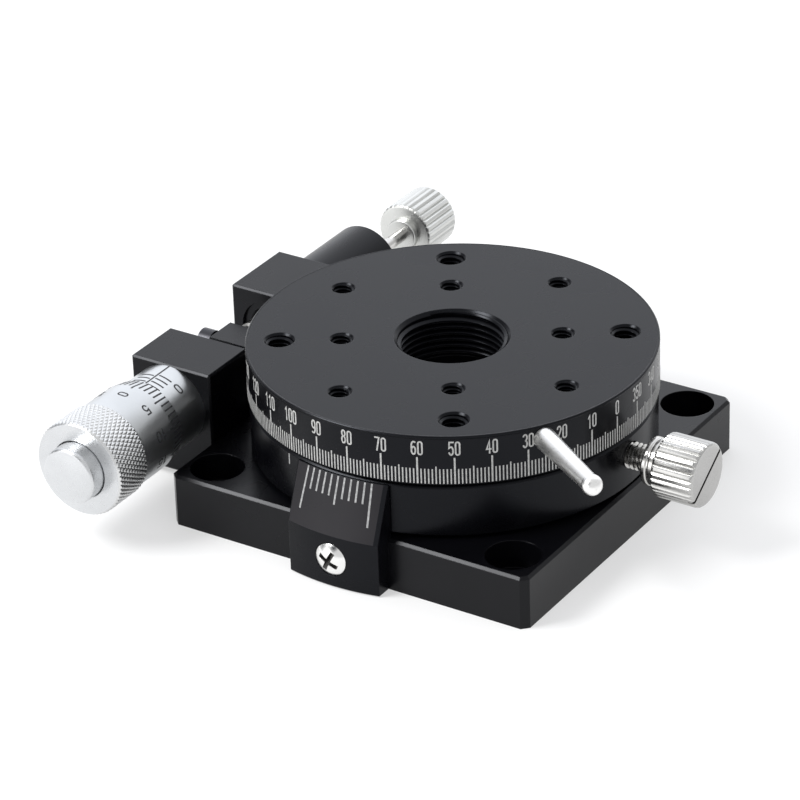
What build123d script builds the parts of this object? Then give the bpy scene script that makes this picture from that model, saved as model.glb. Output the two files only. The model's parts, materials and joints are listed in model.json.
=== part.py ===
from build123d import *
import os
from math import floor, pi, sqrt

# Manual rotation stage with a 60 mm table. The table turns freely on a crossed roller
# bearing for coarse setting. A ring that clamps on its hub carries an arm, and a micrometer
# head pushes that arm against a spring plunger for the fine feed.
# Frame: origin on the turning axis at the underside of the base, +Z up, the vernier on the
# -Y side, the ring clamp screw on +X, the micrometer line on the -X side along Y.
# All sizes are in millimetres.

# Clearances
RUN_GAP = 0.05            # radial running gap of turning and sliding pieces
SEAT_GAP = 0.01           # radial gap of pieces that are pressed or screwed together
CONTACT_GAP = 0.05        # gap left where a rounded tip meets the piece that it pushes
FREE_GAP = 0.3            # gap between faces that pass each other

# Table and fine feed ring, the sizes that the rest of the plan and the heights follow
TABLE_R = 30.0
TABLE_TOP = 24.7
TABLE_BEVEL = 0.4
FEED_RING_TOP = 16.6
FEED_RING_STEP = 0.2      # how far the rim of the ring stands back from the table's
FEED_RING_EDGE = 0.35
WASHER_WIDTH = 5.5
WASHER_THICKNESS = 0.6

# Base plate
BASE_HEIGHT = 8.2
BASE_CORNER = 1.0
BASE_BEVEL = 0.4
BOLT_EDGE = 5.0
BOLT_HOLE_R = 2.25
BOLT_BORE_R = 4.0
BOLT_BORE_DEPTH = 4.4

# Crossed roller bearing, in the base
ROLLER_D = 3.0
ROLLER_CROWN = 0.1
ROLLER_PLAY = 0.03
ROLLER_SPACE = 0.2
BEARING_FLOOR = 1.8
RING_FACE_GAP = 0.3
OUTER_RING_EDGE = 6.0     # wall between the outer ring and the side of the base
OUTER_RING_WALL = 2.13
INNER_RING_WALL = 2.04

# Bearing retainer plate
RETAINER_EDGE = 2.0       # wall between the retainer and the side of the base
RETAINER_THICKNESS = 1.2
RETAINER_LIP = 0.3        # how little the bore of the retainer clears the outer ring's bore
RETAINER_SCREWS = 6
RETAINER_SCREW_LENGTH = 4.2
SMALL_SCREW_R = 1.0
SMALL_HEAD_R = 1.9

# Hub, bore and hole pattern of the table
HUB_SHOULDER = 1.0
BORE_R = 8.0
BORE_FLOOR = 0.3
BORE_RELIEF = 1.0
BORE_CHAMFER = 0.5
PATTERN_ANGLE = 32.24
GRID_SPACING = 32.0
GRID_HOLE_R = 1.5
GRID_HOLE_FLOOR = 1.8
CIRCLE_HOLE_EDGE = 5.0
CIRCLE_HOLE_R = 2.0
CIRCLE_HOLE_FLOOR = 1.3
HOLE_CHAMFER = 0.3

# Clamp ring under the hub
CLAMP_RING_HEIGHT = 1.1
CLAMP_RING_LAP = 2.1
CLAMP_SCREWS = 6
CLAMP_SCREW_LENGTH = 5.0

# Turning lever in the rim of the table
LEVER_ANGLE = -33.2
LEVER_DROP = 2.0
LEVER_REACH = 16.2
LEVER_ROOT_R = 1.65
LEVER_NECK_R = 1.3
LEVER_BALL_R = 1.5
LEVER_STEM_R = 1.25
LEVER_STEM_LENGTH = 6.0

# Drive arm on the fine feed ring
ARM_LENGTH = 18.5
ARM_REACH = 11.0          # how far the arm ends outside the table's rim
ARM_FRONT_Y = -3.7
ARM_BACK_Y = 1.7
ARM_ROOF = 0.9
ARM_HEIGHT = 5.7
ARM_SCREWS = 2
ARM_SCREW_SPACING = 3.4
ARM_SCREW_LENGTH = 4.6
ARM_SCREW_R = 0.8
ARM_SCREW_HEAD_R = 1.4
ARM_END_Y = -2.1
ARM_END_DROP = 1.8
ARM_END_HEAD_R = 1.9
ARM_END_HEAD_LENGTH = 2.1
ARM_END_BITE = 1.6
ANVIL_R = 1.5
ANVIL_PROUD = 0.3

# Line of the micrometer and the spring plunger
FEED_REACH = 7.33         # from the side of the base to the feed line
FEED_DROP = 3.05          # from the top of the arm to the feed line
BLOCK_DEPTH = 14.0
BLOCK_BOTTOM = 1.2
BLOCK_ROOF = 6.35
BLOCK_BEVEL = 0.3
MIC_BLOCK_FRONT = -19.0
MIC_BLOCK_BACK = -9.0
SPRING_BLOCK_FRONT = 7.0
SPRING_BLOCK_BACK = 20.0
BLOCK_SCREW_DROP = 3.5
BLOCK_SCREW_R = 1.25
BLOCK_SCREW_SPACING = 5.0
BLOCK_SCREW_BITE = 6.0
SOCKET_HEAD_R = 2.25
SOCKET_HEAD_HEIGHT = 2.5
SOCKET_DEPTH = 1.3
SOCKET_FLATS = 2.0

# Micrometer head, positions are along Y
FEED_TRAVEL = 3.25
FEED_SPARE = 0.8
STEM_R = 4.5
SLEEVE_R = 6.2
SPINDLE_R = 2.0
SPINDLE_SCREW_R = 2.4
SPINDLE_SCREW_LENGTH = 8.0
SPINDLE_BALL_R = 1.25
SPINDLE_SEAT_DEPTH = 1.5
NUT_FLATS = 10.7
NUT_THICKNESS = 1.2
NUT_BEVEL = 0.3
THIMBLE_EDGE = -25.3
THIMBLE_EDGE_R = 6.5
THIMBLE_BEVEL_LENGTH = 2.6
THIMBLE_R = 7.0
KNURL_START = -34.7
KNURL_R = 7.36
THIMBLE_BACK = -41.7
THIMBLE_WALL = 2.7
THIMBLE_CHAMFER = 0.6
CAP_R = 4.35
CAP_LENGTH = 3.0
CAP_DOME = 0.35
CAP_EDGE = 0.25

# Spring housing, plunger and pull knob, positions are along Y
HOUSING_R = 6.0
HOUSING_END = 34.3
HOUSING_WALL = 6.8
HOUSING_EDGE = 0.4
SPIGOT_R = 4.8
SPIGOT_FRONT = 7.5
SPIGOT_CHAMFER = 0.6
PLUNGER_R = 3.1
PLUNGER_LENGTH = 21.3
PLUNGER_NOSE = 1.0
PLUNGER_BORE_R = 2.2
PLUNGER_WEB = 5.8
SPRING_WIRE_R = 0.225
SPRING_MEAN_R = 1.6
SPRING_TURNS = 8
ROD_R = 1.0
ROD_BITE = 3.5
PULL_KNOB_FRONT = 45.3
PULL_KNOB_BACK = 53.3
PULL_KNOB_COLLAR_R = 2.6
PULL_KNOB_COLLAR_LENGTH = 1.1
PULL_KNOB_BITE = 5.0

# Ring clamp screw
CLAMP_DROP = 3.4
CLAMP_THREAD_R = 2.0
CLAMP_PAD_R = 1.9
CLAMP_PAD_LENGTH = 2.0
CLAMP_REST_GAP = 0.4
CLAMP_REACH = 3.0         # from the table's rim to the collar
CLAMP_COLLAR_R = 3.6
CLAMP_COLLAR_LENGTH = 2.2
CLAMP_HEAD_LENGTH = 6.8
CLAMP_SLOT_WIDTH = 0.5
CLAMP_SLOT_DEPTH = 0.9
CLAMP_SLOT_ANGLE = 34.0

# Straight knurled heads
KNOB_R = 4.8
KNOB_EDGE = 0.6
KNOB_GROOVE_PITCH = 1.08
KNOB_GROOVE_DEPTH = 0.32

# Vernier block
VERNIER_HALF_WIDTH = 7.5
VERNIER_DEPTH = 3.5       # outside the table's rim at the foot
VERNIER_LIP = 0.4         # outside the table's rim at the top
VERNIER_GAP = 0.1
VERNIER_LAP = 2.0
VERNIER_CREASE = 8.3
VERNIER_BOTTOM = 0.2
VERNIER_SCREW_DROP = 3.7
VERNIER_SCREW_R = 1.25
VERNIER_SCREW_BITE = 4.5
VERNIER_HEAD_R = 2.35
VERNIER_HEAD_HEIGHT = 1.6
VERNIER_RECESS_R = 2.6
VERNIER_RECESS_DEPTH = 1.3
CROSS_WIDTH = 0.6
CROSS_LENGTH = 2.6
CROSS_DEPTH = 0.8

# Worked out from the sizes above
HALF_BASE = TABLE_R
BOLT_SPACING = 2 * (HALF_BASE - BOLT_EDGE)
FEED_RING_R = TABLE_R - FEED_RING_STEP
FEED_RING_BOTTOM = BASE_HEIGHT + FREE_GAP
TABLE_BOTTOM = FEED_RING_TOP + FREE_GAP
TABLE_HEIGHT = TABLE_TOP - TABLE_BOTTOM
BORE_DEPTH = TABLE_HEIGHT - BORE_FLOOR
GRID_HOLE_DEPTH = TABLE_HEIGHT - GRID_HOLE_FLOOR
CIRCLE_HOLE_DEPTH = TABLE_HEIGHT - CIRCLE_HOLE_FLOOR
CIRCLE_HOLE_PCD = 2 * (TABLE_R - CIRCLE_HOLE_EDGE)
LEVER_HEIGHT = TABLE_TOP - LEVER_DROP
WASHER_TOP = BASE_HEIGHT + WASHER_THICKNESS
BEARING_TOP = BASE_HEIGHT - RETAINER_THICKNESS
BEARING_MIDDLE = (BEARING_FLOOR + BEARING_TOP) / 2
ROLLER_LENGTH = ROLLER_D - ROLLER_CROWN
GROOVE_REACH = (ROLLER_D / 2 + ROLLER_PLAY) * sqrt(2)
OUTER_RING_R = HALF_BASE - OUTER_RING_EDGE
BEARING_PITCH_R = OUTER_RING_R - OUTER_RING_WALL - GROOVE_REACH
OUTER_RING_BORE_R = BEARING_PITCH_R + RING_FACE_GAP
INNER_RING_R = BEARING_PITCH_R - RING_FACE_GAP
INNER_RING_BORE_R = BEARING_PITCH_R - GROOVE_REACH - INNER_RING_WALL
RETAINER_R = HALF_BASE - RETAINER_EDGE
RETAINER_BORE_R = OUTER_RING_BORE_R + RETAINER_LIP
RETAINER_SCREW_CIRCLE_R = (OUTER_RING_R + RETAINER_R) / 2
BASE_OPENING_R = RETAINER_BORE_R + RETAINER_LIP
HUB_R = INNER_RING_BORE_R + HUB_SHOULDER
HUB_BOTTOM = BEARING_FLOOR + ROLLER_CROWN
WASHER_R = HUB_R + WASHER_WIDTH
BORE_RELIEF_R = BORE_R + BORE_RELIEF
CLAMP_RING_TOP = BEARING_FLOOR
CLAMP_RING_R = INNER_RING_BORE_R + CLAMP_RING_LAP
CLAMP_SCREW_CIRCLE_R = (BORE_RELIEF_R + INNER_RING_BORE_R) / 2
ARM_TOP = FEED_RING_TOP - ARM_ROOF
ARM_BOTTOM = ARM_TOP - ARM_HEIGHT
ARM_OUTER_X = TABLE_R + ARM_REACH
ARM_INNER_X = ARM_OUTER_X - ARM_LENGTH
ARM_END_Z = ARM_TOP - ARM_END_DROP
FEED_X = -(HALF_BASE + FEED_REACH)
FEED_Z = ARM_TOP - FEED_DROP
BLOCK_FACE_X = -HALF_BASE
BLOCK_BACK_X = BLOCK_FACE_X - BLOCK_DEPTH
BLOCK_TOP = FEED_Z + BLOCK_ROOF
BLOCK_SCREW_Z = BASE_HEIGHT - BLOCK_SCREW_DROP
ANVIL_FRONT = ARM_FRONT_Y - ANVIL_PROUD
ANVIL_BACK = ARM_BACK_Y + ANVIL_PROUD
HOUSING_CAVITY_END = HOUSING_END - HOUSING_WALL
BALL_CENTRE = ANVIL_FRONT - CONTACT_GAP - SPINDLE_BALL_R
SPINDLE_FRONT = BALL_CENTRE - SPINDLE_BALL_R + SPINDLE_SEAT_DEPTH
THIMBLE_WALL_Y = THIMBLE_BACK + THIMBLE_WALL
SLEEVE_END = THIMBLE_WALL_Y + FEED_TRAVEL + FEED_SPARE
SPINDLE_SCREW_FRONT = THIMBLE_WALL_Y + SPINDLE_SCREW_LENGTH
SLEEVE_STEP = SPINDLE_SCREW_FRONT + FEED_TRAVEL + FEED_SPARE
PLUNGER_FRONT = ANVIL_BACK + CONTACT_GAP
PLUNGER_SEAT = PLUNGER_FRONT + PLUNGER_WEB
PLUNGER_BACK = PLUNGER_FRONT + PLUNGER_LENGTH
ROD_FRONT = PLUNGER_SEAT - ROD_BITE
CLAMP_Z = FEED_RING_TOP - CLAMP_DROP
CLAMP_PAD_X = HUB_R + CLAMP_REST_GAP
CLAMP_COLLAR_X = TABLE_R + CLAMP_REACH
CLAMP_HEAD_X = CLAMP_COLLAR_X + CLAMP_COLLAR_LENGTH
CLAMP_END_X = CLAMP_HEAD_X + CLAMP_HEAD_LENGTH
KNOB_GROOVES = round(2 * pi * KNOB_R / KNOB_GROOVE_PITCH)
VERNIER_TOP = FEED_RING_TOP
VERNIER_R = TABLE_R + VERNIER_DEPTH
VERNIER_TOP_R = TABLE_R + VERNIER_LIP
VERNIER_BORE_R = TABLE_R + VERNIER_GAP
VERNIER_SCREW_Z = BASE_HEIGHT - VERNIER_SCREW_DROP
VERNIER_SCREW_TIP = HALF_BASE - VERNIER_SCREW_BITE
VERNIER_RECESS_Y = VERNIER_R - VERNIER_RECESS_DEPTH


def cap_drop(radius, height, at):
    """How far a round cap of this radius and height has fallen at some distance from its middle."""
    ball = (radius**2 + height**2) / (2 * height)
    return ball - sqrt(ball**2 - at**2)


def dome(radius, base, top):
    """Round cap about Z between a flat base and its highest point."""
    height = abs(top - base)
    sign = 1 if top > base else -1
    middle = top - sign * cap_drop(radius, height, radius / 2)
    outline = [
        Line((0, base), (radius, base)),
        ThreePointArc((radius, base), (radius / 2, middle), (0, top)),
        Line((0, top), (0, base))
    ]
    return revolve(Plane.XZ * make_face(outline), Axis.Z)


def turned(points):
    """Solid of revolution about Z from (radius, height) points."""
    return revolve(Plane.XZ * make_face(Polyline(*points, close=True)), Axis.Z)


def ring(inner, outer, bottom, top):
    """Plain ring about Z."""
    return turned([(inner, bottom), (outer, bottom), (outer, top), (inner, top)])


def rod(radius, bottom, top):
    """Plain round bar about Z."""
    return Pos(0, 0, (bottom + top) / 2) * Cylinder(radius, top - bottom)


def along_y(shape, x=FEED_X, z=FEED_Z):
    """Lays a shape that was made about Z along +Y, on the feed line unless told otherwise."""
    return Pos(x, 0, z) * Rot(-90, 0, 0) * shape


def along_x(shape, y=0.0, z=0.0):
    """Lays a shape that was made about Z along +X."""
    return Pos(0, y, z) * Rot(0, 90, 0) * shape


def box(low, high):
    """Box between two corners."""
    size = [high[i] - low[i] for i in range(3)]
    middle = [(high[i] + low[i]) / 2 for i in range(3)]
    return Pos(*middle) * Box(*size)


def around(shape, count, start=0.0):
    """Copies of a shape at even angles about Z."""
    return [Rot(0, 0, start + 360 * i / count) * shape for i in range(count)]


def countersunk_screw(radius, head_r, length):
    """Countersunk screw with its flat head at z = 0 and a straight slot, pointing down."""
    sink = head_r - radius
    body = turned([(0, 0), (head_r, 0), (radius, -sink), (radius, -length), (0, -length)])
    return body - Pos(0, 0, -sink / 4) * Box(2 * head_r, radius / 2, sink / 2)


def countersunk_hole(radius, head_r, depth):
    """Tool for the hole of such a screw, open at z = 0."""
    sink = head_r - radius
    outer = head_r + SEAT_GAP
    inner = radius + SEAT_GAP
    return turned([(0, 1), (outer, 1), (outer, 0), (inner, -sink), (inner, -depth), (0, -depth)])


def socket_screw(length):
    """Socket head screw, head between z = 0 and its height, shank pointing down."""
    head = Pos(0, 0, SOCKET_HEAD_HEIGHT / 2) * Cylinder(SOCKET_HEAD_R, SOCKET_HEAD_HEIGHT)
    head = chamfer(head.edges().group_by(Axis.Z)[-1], 0.2)
    socket = extrude(RegularPolygon(SOCKET_FLATS / 2, 6, major_radius=False), SOCKET_DEPTH)
    shank = rod(BLOCK_SCREW_R, -length, 0)
    return head + shank - Pos(0, 0, SOCKET_HEAD_HEIGHT - SOCKET_DEPTH) * socket


def knurled_head(length):
    """Round head about Z from z = 0 up, with straight grooves and bevelled ends."""
    side = KNOB_GROOVE_DEPTH * sqrt(2)
    groove = Pos(KNOB_R, 0) * Rot(0, 0, 45) * Rectangle(side, side)
    outline = Circle(KNOB_R) - around(groove, KNOB_GROOVES)
    edge = KNOB_R - KNOB_EDGE
    envelope = turned([
        (0, 0), (edge, 0), (KNOB_R, KNOB_EDGE), (KNOB_R, length - KNOB_EDGE), (edge, length), (0, length)
    ])
    return extrude(outline, length) & envelope


def base_plate():
    """Square plate with the bearing seat, counterbored corner holes and side screw holes."""
    plate = box((-HALF_BASE, -HALF_BASE, 0), (HALF_BASE, HALF_BASE, BASE_HEIGHT))
    plate = chamfer(plate.edges().filter_by(Axis.Z), BASE_CORNER)
    plate = chamfer(plate.edges().group_by(Axis.Z)[-1], BASE_BEVEL)
    seat = turned([
        (0, -1), (BASE_OPENING_R, -1), (BASE_OPENING_R, BEARING_FLOOR),
        (OUTER_RING_R + SEAT_GAP, BEARING_FLOOR), (OUTER_RING_R + SEAT_GAP, BEARING_TOP),
        (RETAINER_R + SEAT_GAP, BEARING_TOP), (RETAINER_R + SEAT_GAP, BASE_HEIGHT + 1), (0, BASE_HEIGHT + 1)
    ])
    bolt = rod(BOLT_HOLE_R, -1, BASE_HEIGHT + 1)
    bolt += rod(BOLT_BORE_R, BASE_HEIGHT - BOLT_BORE_DEPTH, BASE_HEIGHT + 1)
    plate = plate - seat - [place * bolt for place in GridLocations(BOLT_SPACING, BOLT_SPACING, 2, 2)]
    drill_depth = RETAINER_SCREW_LENGTH + FREE_GAP
    screw = Pos(RETAINER_SCREW_CIRCLE_R, 0, BASE_HEIGHT) * rod(SMALL_SCREW_R + SEAT_GAP, -drill_depth, 0)
    plate -= around(screw, RETAINER_SCREWS)
    side_hole = rod(BLOCK_SCREW_R + SEAT_GAP, BLOCK_FACE_X - 1, BLOCK_FACE_X + BLOCK_SCREW_BITE + FREE_GAP)
    plate -= [along_x(side_hole, y, BLOCK_SCREW_Z) for y in block_screw_places()]
    tip = -VERNIER_SCREW_TIP + FREE_GAP
    return plate - along_y(rod(VERNIER_SCREW_R + SEAT_GAP, -HALF_BASE - 1, tip), 0, VERNIER_SCREW_Z)


def block_screw_places():
    """Y positions of the screws that hold the two side blocks."""
    places = []
    for front, back in ((MIC_BLOCK_FRONT, MIC_BLOCK_BACK), (SPRING_BLOCK_FRONT, SPRING_BLOCK_BACK)):
        middle = (front + back) / 2
        places += [middle - BLOCK_SCREW_SPACING / 2, middle + BLOCK_SCREW_SPACING / 2]
    return places


def bearing_outer_half(upper):
    """Half of the outer ring, with one flank of the groove."""
    flat = BEARING_TOP if upper else BEARING_FLOOR
    lip = BEARING_MIDDLE + (GROOVE_REACH - RING_FACE_GAP) * (1 if upper else -1)
    return turned([
        (BEARING_PITCH_R + GROOVE_REACH, BEARING_MIDDLE), (OUTER_RING_R, BEARING_MIDDLE),
        (OUTER_RING_R, flat), (OUTER_RING_BORE_R, flat), (OUTER_RING_BORE_R, lip)
    ])


def bearing_inner_ring():
    """Inner ring in one piece, with both flanks of the groove."""
    reach = GROOVE_REACH - RING_FACE_GAP
    return turned([
        (INNER_RING_BORE_R, BEARING_FLOOR), (INNER_RING_R, BEARING_FLOOR),
        (INNER_RING_R, BEARING_MIDDLE - reach), (BEARING_PITCH_R - GROOVE_REACH, BEARING_MIDDLE),
        (INNER_RING_R, BEARING_MIDDLE + reach), (INNER_RING_R, BEARING_TOP), (INNER_RING_BORE_R, BEARING_TOP)
    ])


def bearing_rollers():
    """Rollers in the square groove, each crossed against its neighbours."""
    pairs = floor(pi * BEARING_PITCH_R / (ROLLER_D + ROLLER_SPACE))
    roller = Cylinder(ROLLER_D / 2, ROLLER_LENGTH)
    rollers = []
    for i in range(2 * pairs):
        tilt = Rot(0, 45 if i % 2 else -45, 0)
        place = Rot(0, 0, 180 * i / pairs) * Pos(BEARING_PITCH_R, 0, BEARING_MIDDLE)
        rollers.append(place * tilt * roller)
    return Compound(children=rollers)


def bearing_retainer():
    """Thin plate that holds the outer ring down."""
    plate = ring(RETAINER_BORE_R, RETAINER_R, BEARING_TOP, BASE_HEIGHT)
    hole = countersunk_hole(SMALL_SCREW_R, SMALL_HEAD_R, BASE_HEIGHT)
    return plate - around(Pos(RETAINER_SCREW_CIRCLE_R, 0, BASE_HEIGHT) * hole, RETAINER_SCREWS)


def retainer_screws():
    """Countersunk screws of the retainer plate."""
    screw = countersunk_screw(SMALL_SCREW_R, SMALL_HEAD_R, RETAINER_SCREW_LENGTH)
    place = Pos(RETAINER_SCREW_CIRCLE_R, 0, BASE_HEIGHT)
    return Compound(children=around(place * screw, RETAINER_SCREWS))


def thrust_washer():
    """Washer that carries the fine feed ring on the retainer."""
    return ring(HUB_R + FREE_GAP, WASHER_R, BASE_HEIGHT, WASHER_TOP)


def table():
    """Round table with its hub, the threaded bore and the pattern of threaded holes."""
    body = turned([
        (BORE_R + BORE_CHAMFER, TABLE_TOP), (TABLE_R - TABLE_BEVEL, TABLE_TOP),
        (TABLE_R, TABLE_TOP - TABLE_BEVEL), (TABLE_R, TABLE_BOTTOM + TABLE_BEVEL / 2),
        (TABLE_R - TABLE_BEVEL / 2, TABLE_BOTTOM), (HUB_R, TABLE_BOTTOM), (HUB_R, BEARING_TOP),
        (INNER_RING_BORE_R - SEAT_GAP, BEARING_TOP), (INNER_RING_BORE_R - SEAT_GAP, HUB_BOTTOM),
        (BORE_RELIEF_R, HUB_BOTTOM), (BORE_RELIEF_R, TABLE_TOP - BORE_DEPTH),
        (BORE_R, TABLE_TOP - BORE_DEPTH), (BORE_R, TABLE_TOP - BORE_CHAMFER)
    ])
    grid = Rot(0, 0, PATTERN_ANGLE) * Pos(0, 0, TABLE_TOP)
    half = GRID_SPACING / 2
    places = [(half, 0), (0, half), (-half, 0), (0, -half)]
    places += [(half, half), (-half, half), (-half, -half), (half, -half)]
    body -= [grid * Pos(x, y) * threaded_hole(GRID_HOLE_R, GRID_HOLE_DEPTH) for x, y in places]
    circle_hole = threaded_hole(CIRCLE_HOLE_R, CIRCLE_HOLE_DEPTH)
    body -= [grid * Rot(0, 0, 90 * i) * Pos(CIRCLE_HOLE_PCD / 2, 0) * circle_hole for i in range(4)]
    drill = rod(SMALL_SCREW_R + SEAT_GAP, 0, CLAMP_SCREW_LENGTH + FREE_GAP)
    body -= around(Pos(CLAMP_SCREW_CIRCLE_R, 0, CLAMP_RING_TOP - CLAMP_RING_HEIGHT) * drill, CLAMP_SCREWS)
    stem = rod(LEVER_STEM_R + SEAT_GAP, TABLE_R - LEVER_STEM_LENGTH - FREE_GAP, TABLE_R + 1)
    return body - Rot(0, 0, LEVER_ANGLE) * along_x(stem, 0, LEVER_HEIGHT)


def threaded_hole(radius, depth):
    """Tool for a blind hole with a chamfered mouth at z = 0 and a drill point."""
    wide = radius + HOLE_CHAMFER
    return turned([
        (0, 1), (wide, 1), (wide, 0), (radius, -HOLE_CHAMFER), (radius, -depth), (0, -depth - radius / 2)
    ])


def hub_clamp_ring():
    """Ring under the hub that clamps the inner ring of the bearing."""
    bottom = CLAMP_RING_TOP - CLAMP_RING_HEIGHT
    plate = ring(BORE_RELIEF_R, CLAMP_RING_R, bottom, CLAMP_RING_TOP)
    hole = Rot(180, 0, 0) * countersunk_hole(SMALL_SCREW_R, SMALL_HEAD_R, CLAMP_SCREW_LENGTH)
    return plate - around(Pos(CLAMP_SCREW_CIRCLE_R, 0, bottom) * hole, CLAMP_SCREWS)


def hub_clamp_screws():
    """Countersunk screws of the clamp ring, put in from below."""
    screw = Rot(180, 0, 0) * countersunk_screw(SMALL_SCREW_R, SMALL_HEAD_R, CLAMP_SCREW_LENGTH)
    place = Pos(CLAMP_SCREW_CIRCLE_R, 0, CLAMP_RING_TOP - CLAMP_RING_HEIGHT)
    return Compound(children=around(place * screw, CLAMP_SCREWS))


def turning_lever():
    """Tapered rod with a ball end, screwed into the rim of the table."""
    ball = TABLE_R + LEVER_REACH - LEVER_BALL_R
    start = TABLE_R + SEAT_GAP
    neck = sqrt(LEVER_BALL_R**2 - LEVER_NECK_R**2)
    shaft = turned([(0, start), (LEVER_ROOT_R, start), (LEVER_NECK_R, ball - neck), (0, ball - neck)])
    stem = rod(LEVER_STEM_R, TABLE_R - LEVER_STEM_LENGTH, start)
    lever = shaft + stem + Pos(0, 0, ball) * Sphere(LEVER_BALL_R)
    return Rot(0, 0, LEVER_ANGLE) * along_x(lever, 0, LEVER_HEIGHT)


def fine_feed_ring():
    """Ring that turns on the hub, with the slot of the arm and the hole of the clamp screw."""
    bore = HUB_R + RUN_GAP
    washer_recess = WASHER_R + FREE_GAP
    body = turned([
        (bore, WASHER_TOP + RUN_GAP), (washer_recess, WASHER_TOP + RUN_GAP), (washer_recess, FEED_RING_BOTTOM),
        (FEED_RING_R - FEED_RING_EDGE, FEED_RING_BOTTOM), (FEED_RING_R, FEED_RING_BOTTOM + FEED_RING_EDGE),
        (FEED_RING_R, FEED_RING_TOP - FEED_RING_EDGE), (FEED_RING_R - FEED_RING_EDGE, FEED_RING_TOP),
        (bore, FEED_RING_TOP)
    ])
    slot = box(
        (-FEED_RING_R - 1, ARM_FRONT_Y - SEAT_GAP, ARM_BOTTOM - SEAT_GAP),
        (-ARM_INNER_X + SEAT_GAP, ARM_BACK_Y + SEAT_GAP, ARM_TOP + SEAT_GAP)
    )
    thread = along_x(rod(CLAMP_THREAD_R + RUN_GAP, HUB_R, FEED_RING_R + 1), 0, CLAMP_Z)
    return body - slot - thread - [place * arm_screw_hole() for place in arm_screw_places()]


def arm_screw_places():
    """Heads of the arm screws on the top face of the ring, spread about the middle of the joint."""
    middle = Pos(-(ARM_INNER_X + FEED_RING_R) / 2, (ARM_FRONT_Y + ARM_BACK_Y) / 2, FEED_RING_TOP)
    return [middle * place for place in GridLocations(ARM_SCREW_SPACING, 0, ARM_SCREWS, 1)]


def arm_screw_hole():
    """Tool for the countersunk hole of an arm screw."""
    return countersunk_hole(ARM_SCREW_R, ARM_SCREW_HEAD_R, ARM_SCREW_LENGTH + FREE_GAP)


def arm_screws():
    """Countersunk screws that hold the arm in its slot, and the screw in the end of the arm."""
    screw = countersunk_screw(ARM_SCREW_R, ARM_SCREW_HEAD_R, ARM_SCREW_LENGTH)
    end = -ARM_OUTER_X - SEAT_GAP
    stop = rod(ARM_END_HEAD_R, end - ARM_END_HEAD_LENGTH, end) + rod(SMALL_SCREW_R, end, end + ARM_END_BITE)
    screws = [place * screw for place in arm_screw_places()]
    return Compound(children=screws + [along_x(stop, ARM_END_Y, ARM_END_Z)])


def drive_arm():
    """Bar that sticks out of the ring between the spindle and the plunger."""
    bar = box((-ARM_OUTER_X, ARM_FRONT_Y, ARM_BOTTOM), (-ARM_INNER_X, ARM_BACK_Y, ARM_TOP))
    bar = chamfer(bar.edges().group_by(Axis.X)[0], BLOCK_BEVEL)
    bar -= along_y(rod(ANVIL_R + SEAT_GAP, ARM_FRONT_Y - 1, ARM_BACK_Y + 1))
    drill = rod(SMALL_SCREW_R + SEAT_GAP, -ARM_OUTER_X - 1, ARM_END_BITE + FREE_GAP / 2 - ARM_OUTER_X)
    bar -= along_x(drill, ARM_END_Y, ARM_END_Z)
    return bar - [place * arm_screw_hole() for place in arm_screw_places()]


def anvil_pin():
    """Hardened pin through the arm, with a flat face for the ball and one for the plunger."""
    pin = rod(ANVIL_R, ANVIL_FRONT, ANVIL_BACK)
    return along_y(chamfer(pin.edges(), ANVIL_PROUD / 2))


def side_block(front, back, bore_r):
    """Block on the side of the base, bored on the feed line, with two counterbored holes."""
    body = box((BLOCK_BACK_X, front, BLOCK_BOTTOM), (BLOCK_FACE_X, back, BLOCK_TOP))
    body = chamfer(body.edges(), BLOCK_BEVEL)
    body -= along_y(rod(bore_r, front - 1, back + 1))
    hole = rod(BLOCK_SCREW_R + SEAT_GAP, BLOCK_BACK_X - 1, BLOCK_FACE_X + 1)
    hole += rod(SOCKET_HEAD_R + RUN_GAP, BLOCK_BACK_X - 1, BLOCK_BACK_X + SOCKET_HEAD_HEIGHT + FREE_GAP)
    return body - [along_x(hole, y, BLOCK_SCREW_Z) for y in block_screw_places() if front < y < back]


def block_screws(front, back):
    """Socket head screws that hold a side block to the base."""
    seat = BLOCK_BACK_X + SOCKET_HEAD_HEIGHT + FREE_GAP
    screw = Rot(180, 0, 0) * socket_screw(BLOCK_FACE_X + BLOCK_SCREW_BITE - seat)
    places = [y for y in block_screw_places() if front < y < back]
    return Compound(children=[along_x(Pos(0, 0, seat) * screw, y, BLOCK_SCREW_Z) for y in places])


def micrometer_sleeve():
    """Sleeve with its stem through the block, bored for the spindle and its screw."""
    stem_end = MIC_BLOCK_BACK + NUT_THICKNESS
    return along_y(turned([
        (SPINDLE_R + RUN_GAP, stem_end), (STEM_R, stem_end), (STEM_R, MIC_BLOCK_FRONT),
        (SLEEVE_R, MIC_BLOCK_FRONT), (SLEEVE_R, SLEEVE_END), (SPINDLE_SCREW_R + RUN_GAP, SLEEVE_END),
        (SPINDLE_SCREW_R + RUN_GAP, SLEEVE_STEP), (SPINDLE_R + RUN_GAP, SLEEVE_STEP)
    ]))


def micrometer_nut():
    """Hexagon nut that clamps the stem in the block, one flat up."""
    blank = extrude(RegularPolygon(NUT_FLATS / 2, 6, major_radius=False), NUT_THICKNESS)
    inner = NUT_FLATS / 2
    outer = inner + 1.5 * NUT_BEVEL
    blank &= turned([
        (0, 0), (inner, 0), (outer, NUT_BEVEL), (outer, NUT_THICKNESS - NUT_BEVEL),
        (inner, NUT_THICKNESS), (0, NUT_THICKNESS)
    ])
    blank -= rod(STEM_R + SEAT_GAP, -1, NUT_THICKNESS + 1)
    return along_y(Pos(0, 0, MIC_BLOCK_BACK) * blank)


def spindle_ball():
    """Loose ball in the tip of the spindle."""
    return along_y(Pos(0, 0, BALL_CENTRE) * Sphere(SPINDLE_BALL_R))


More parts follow.
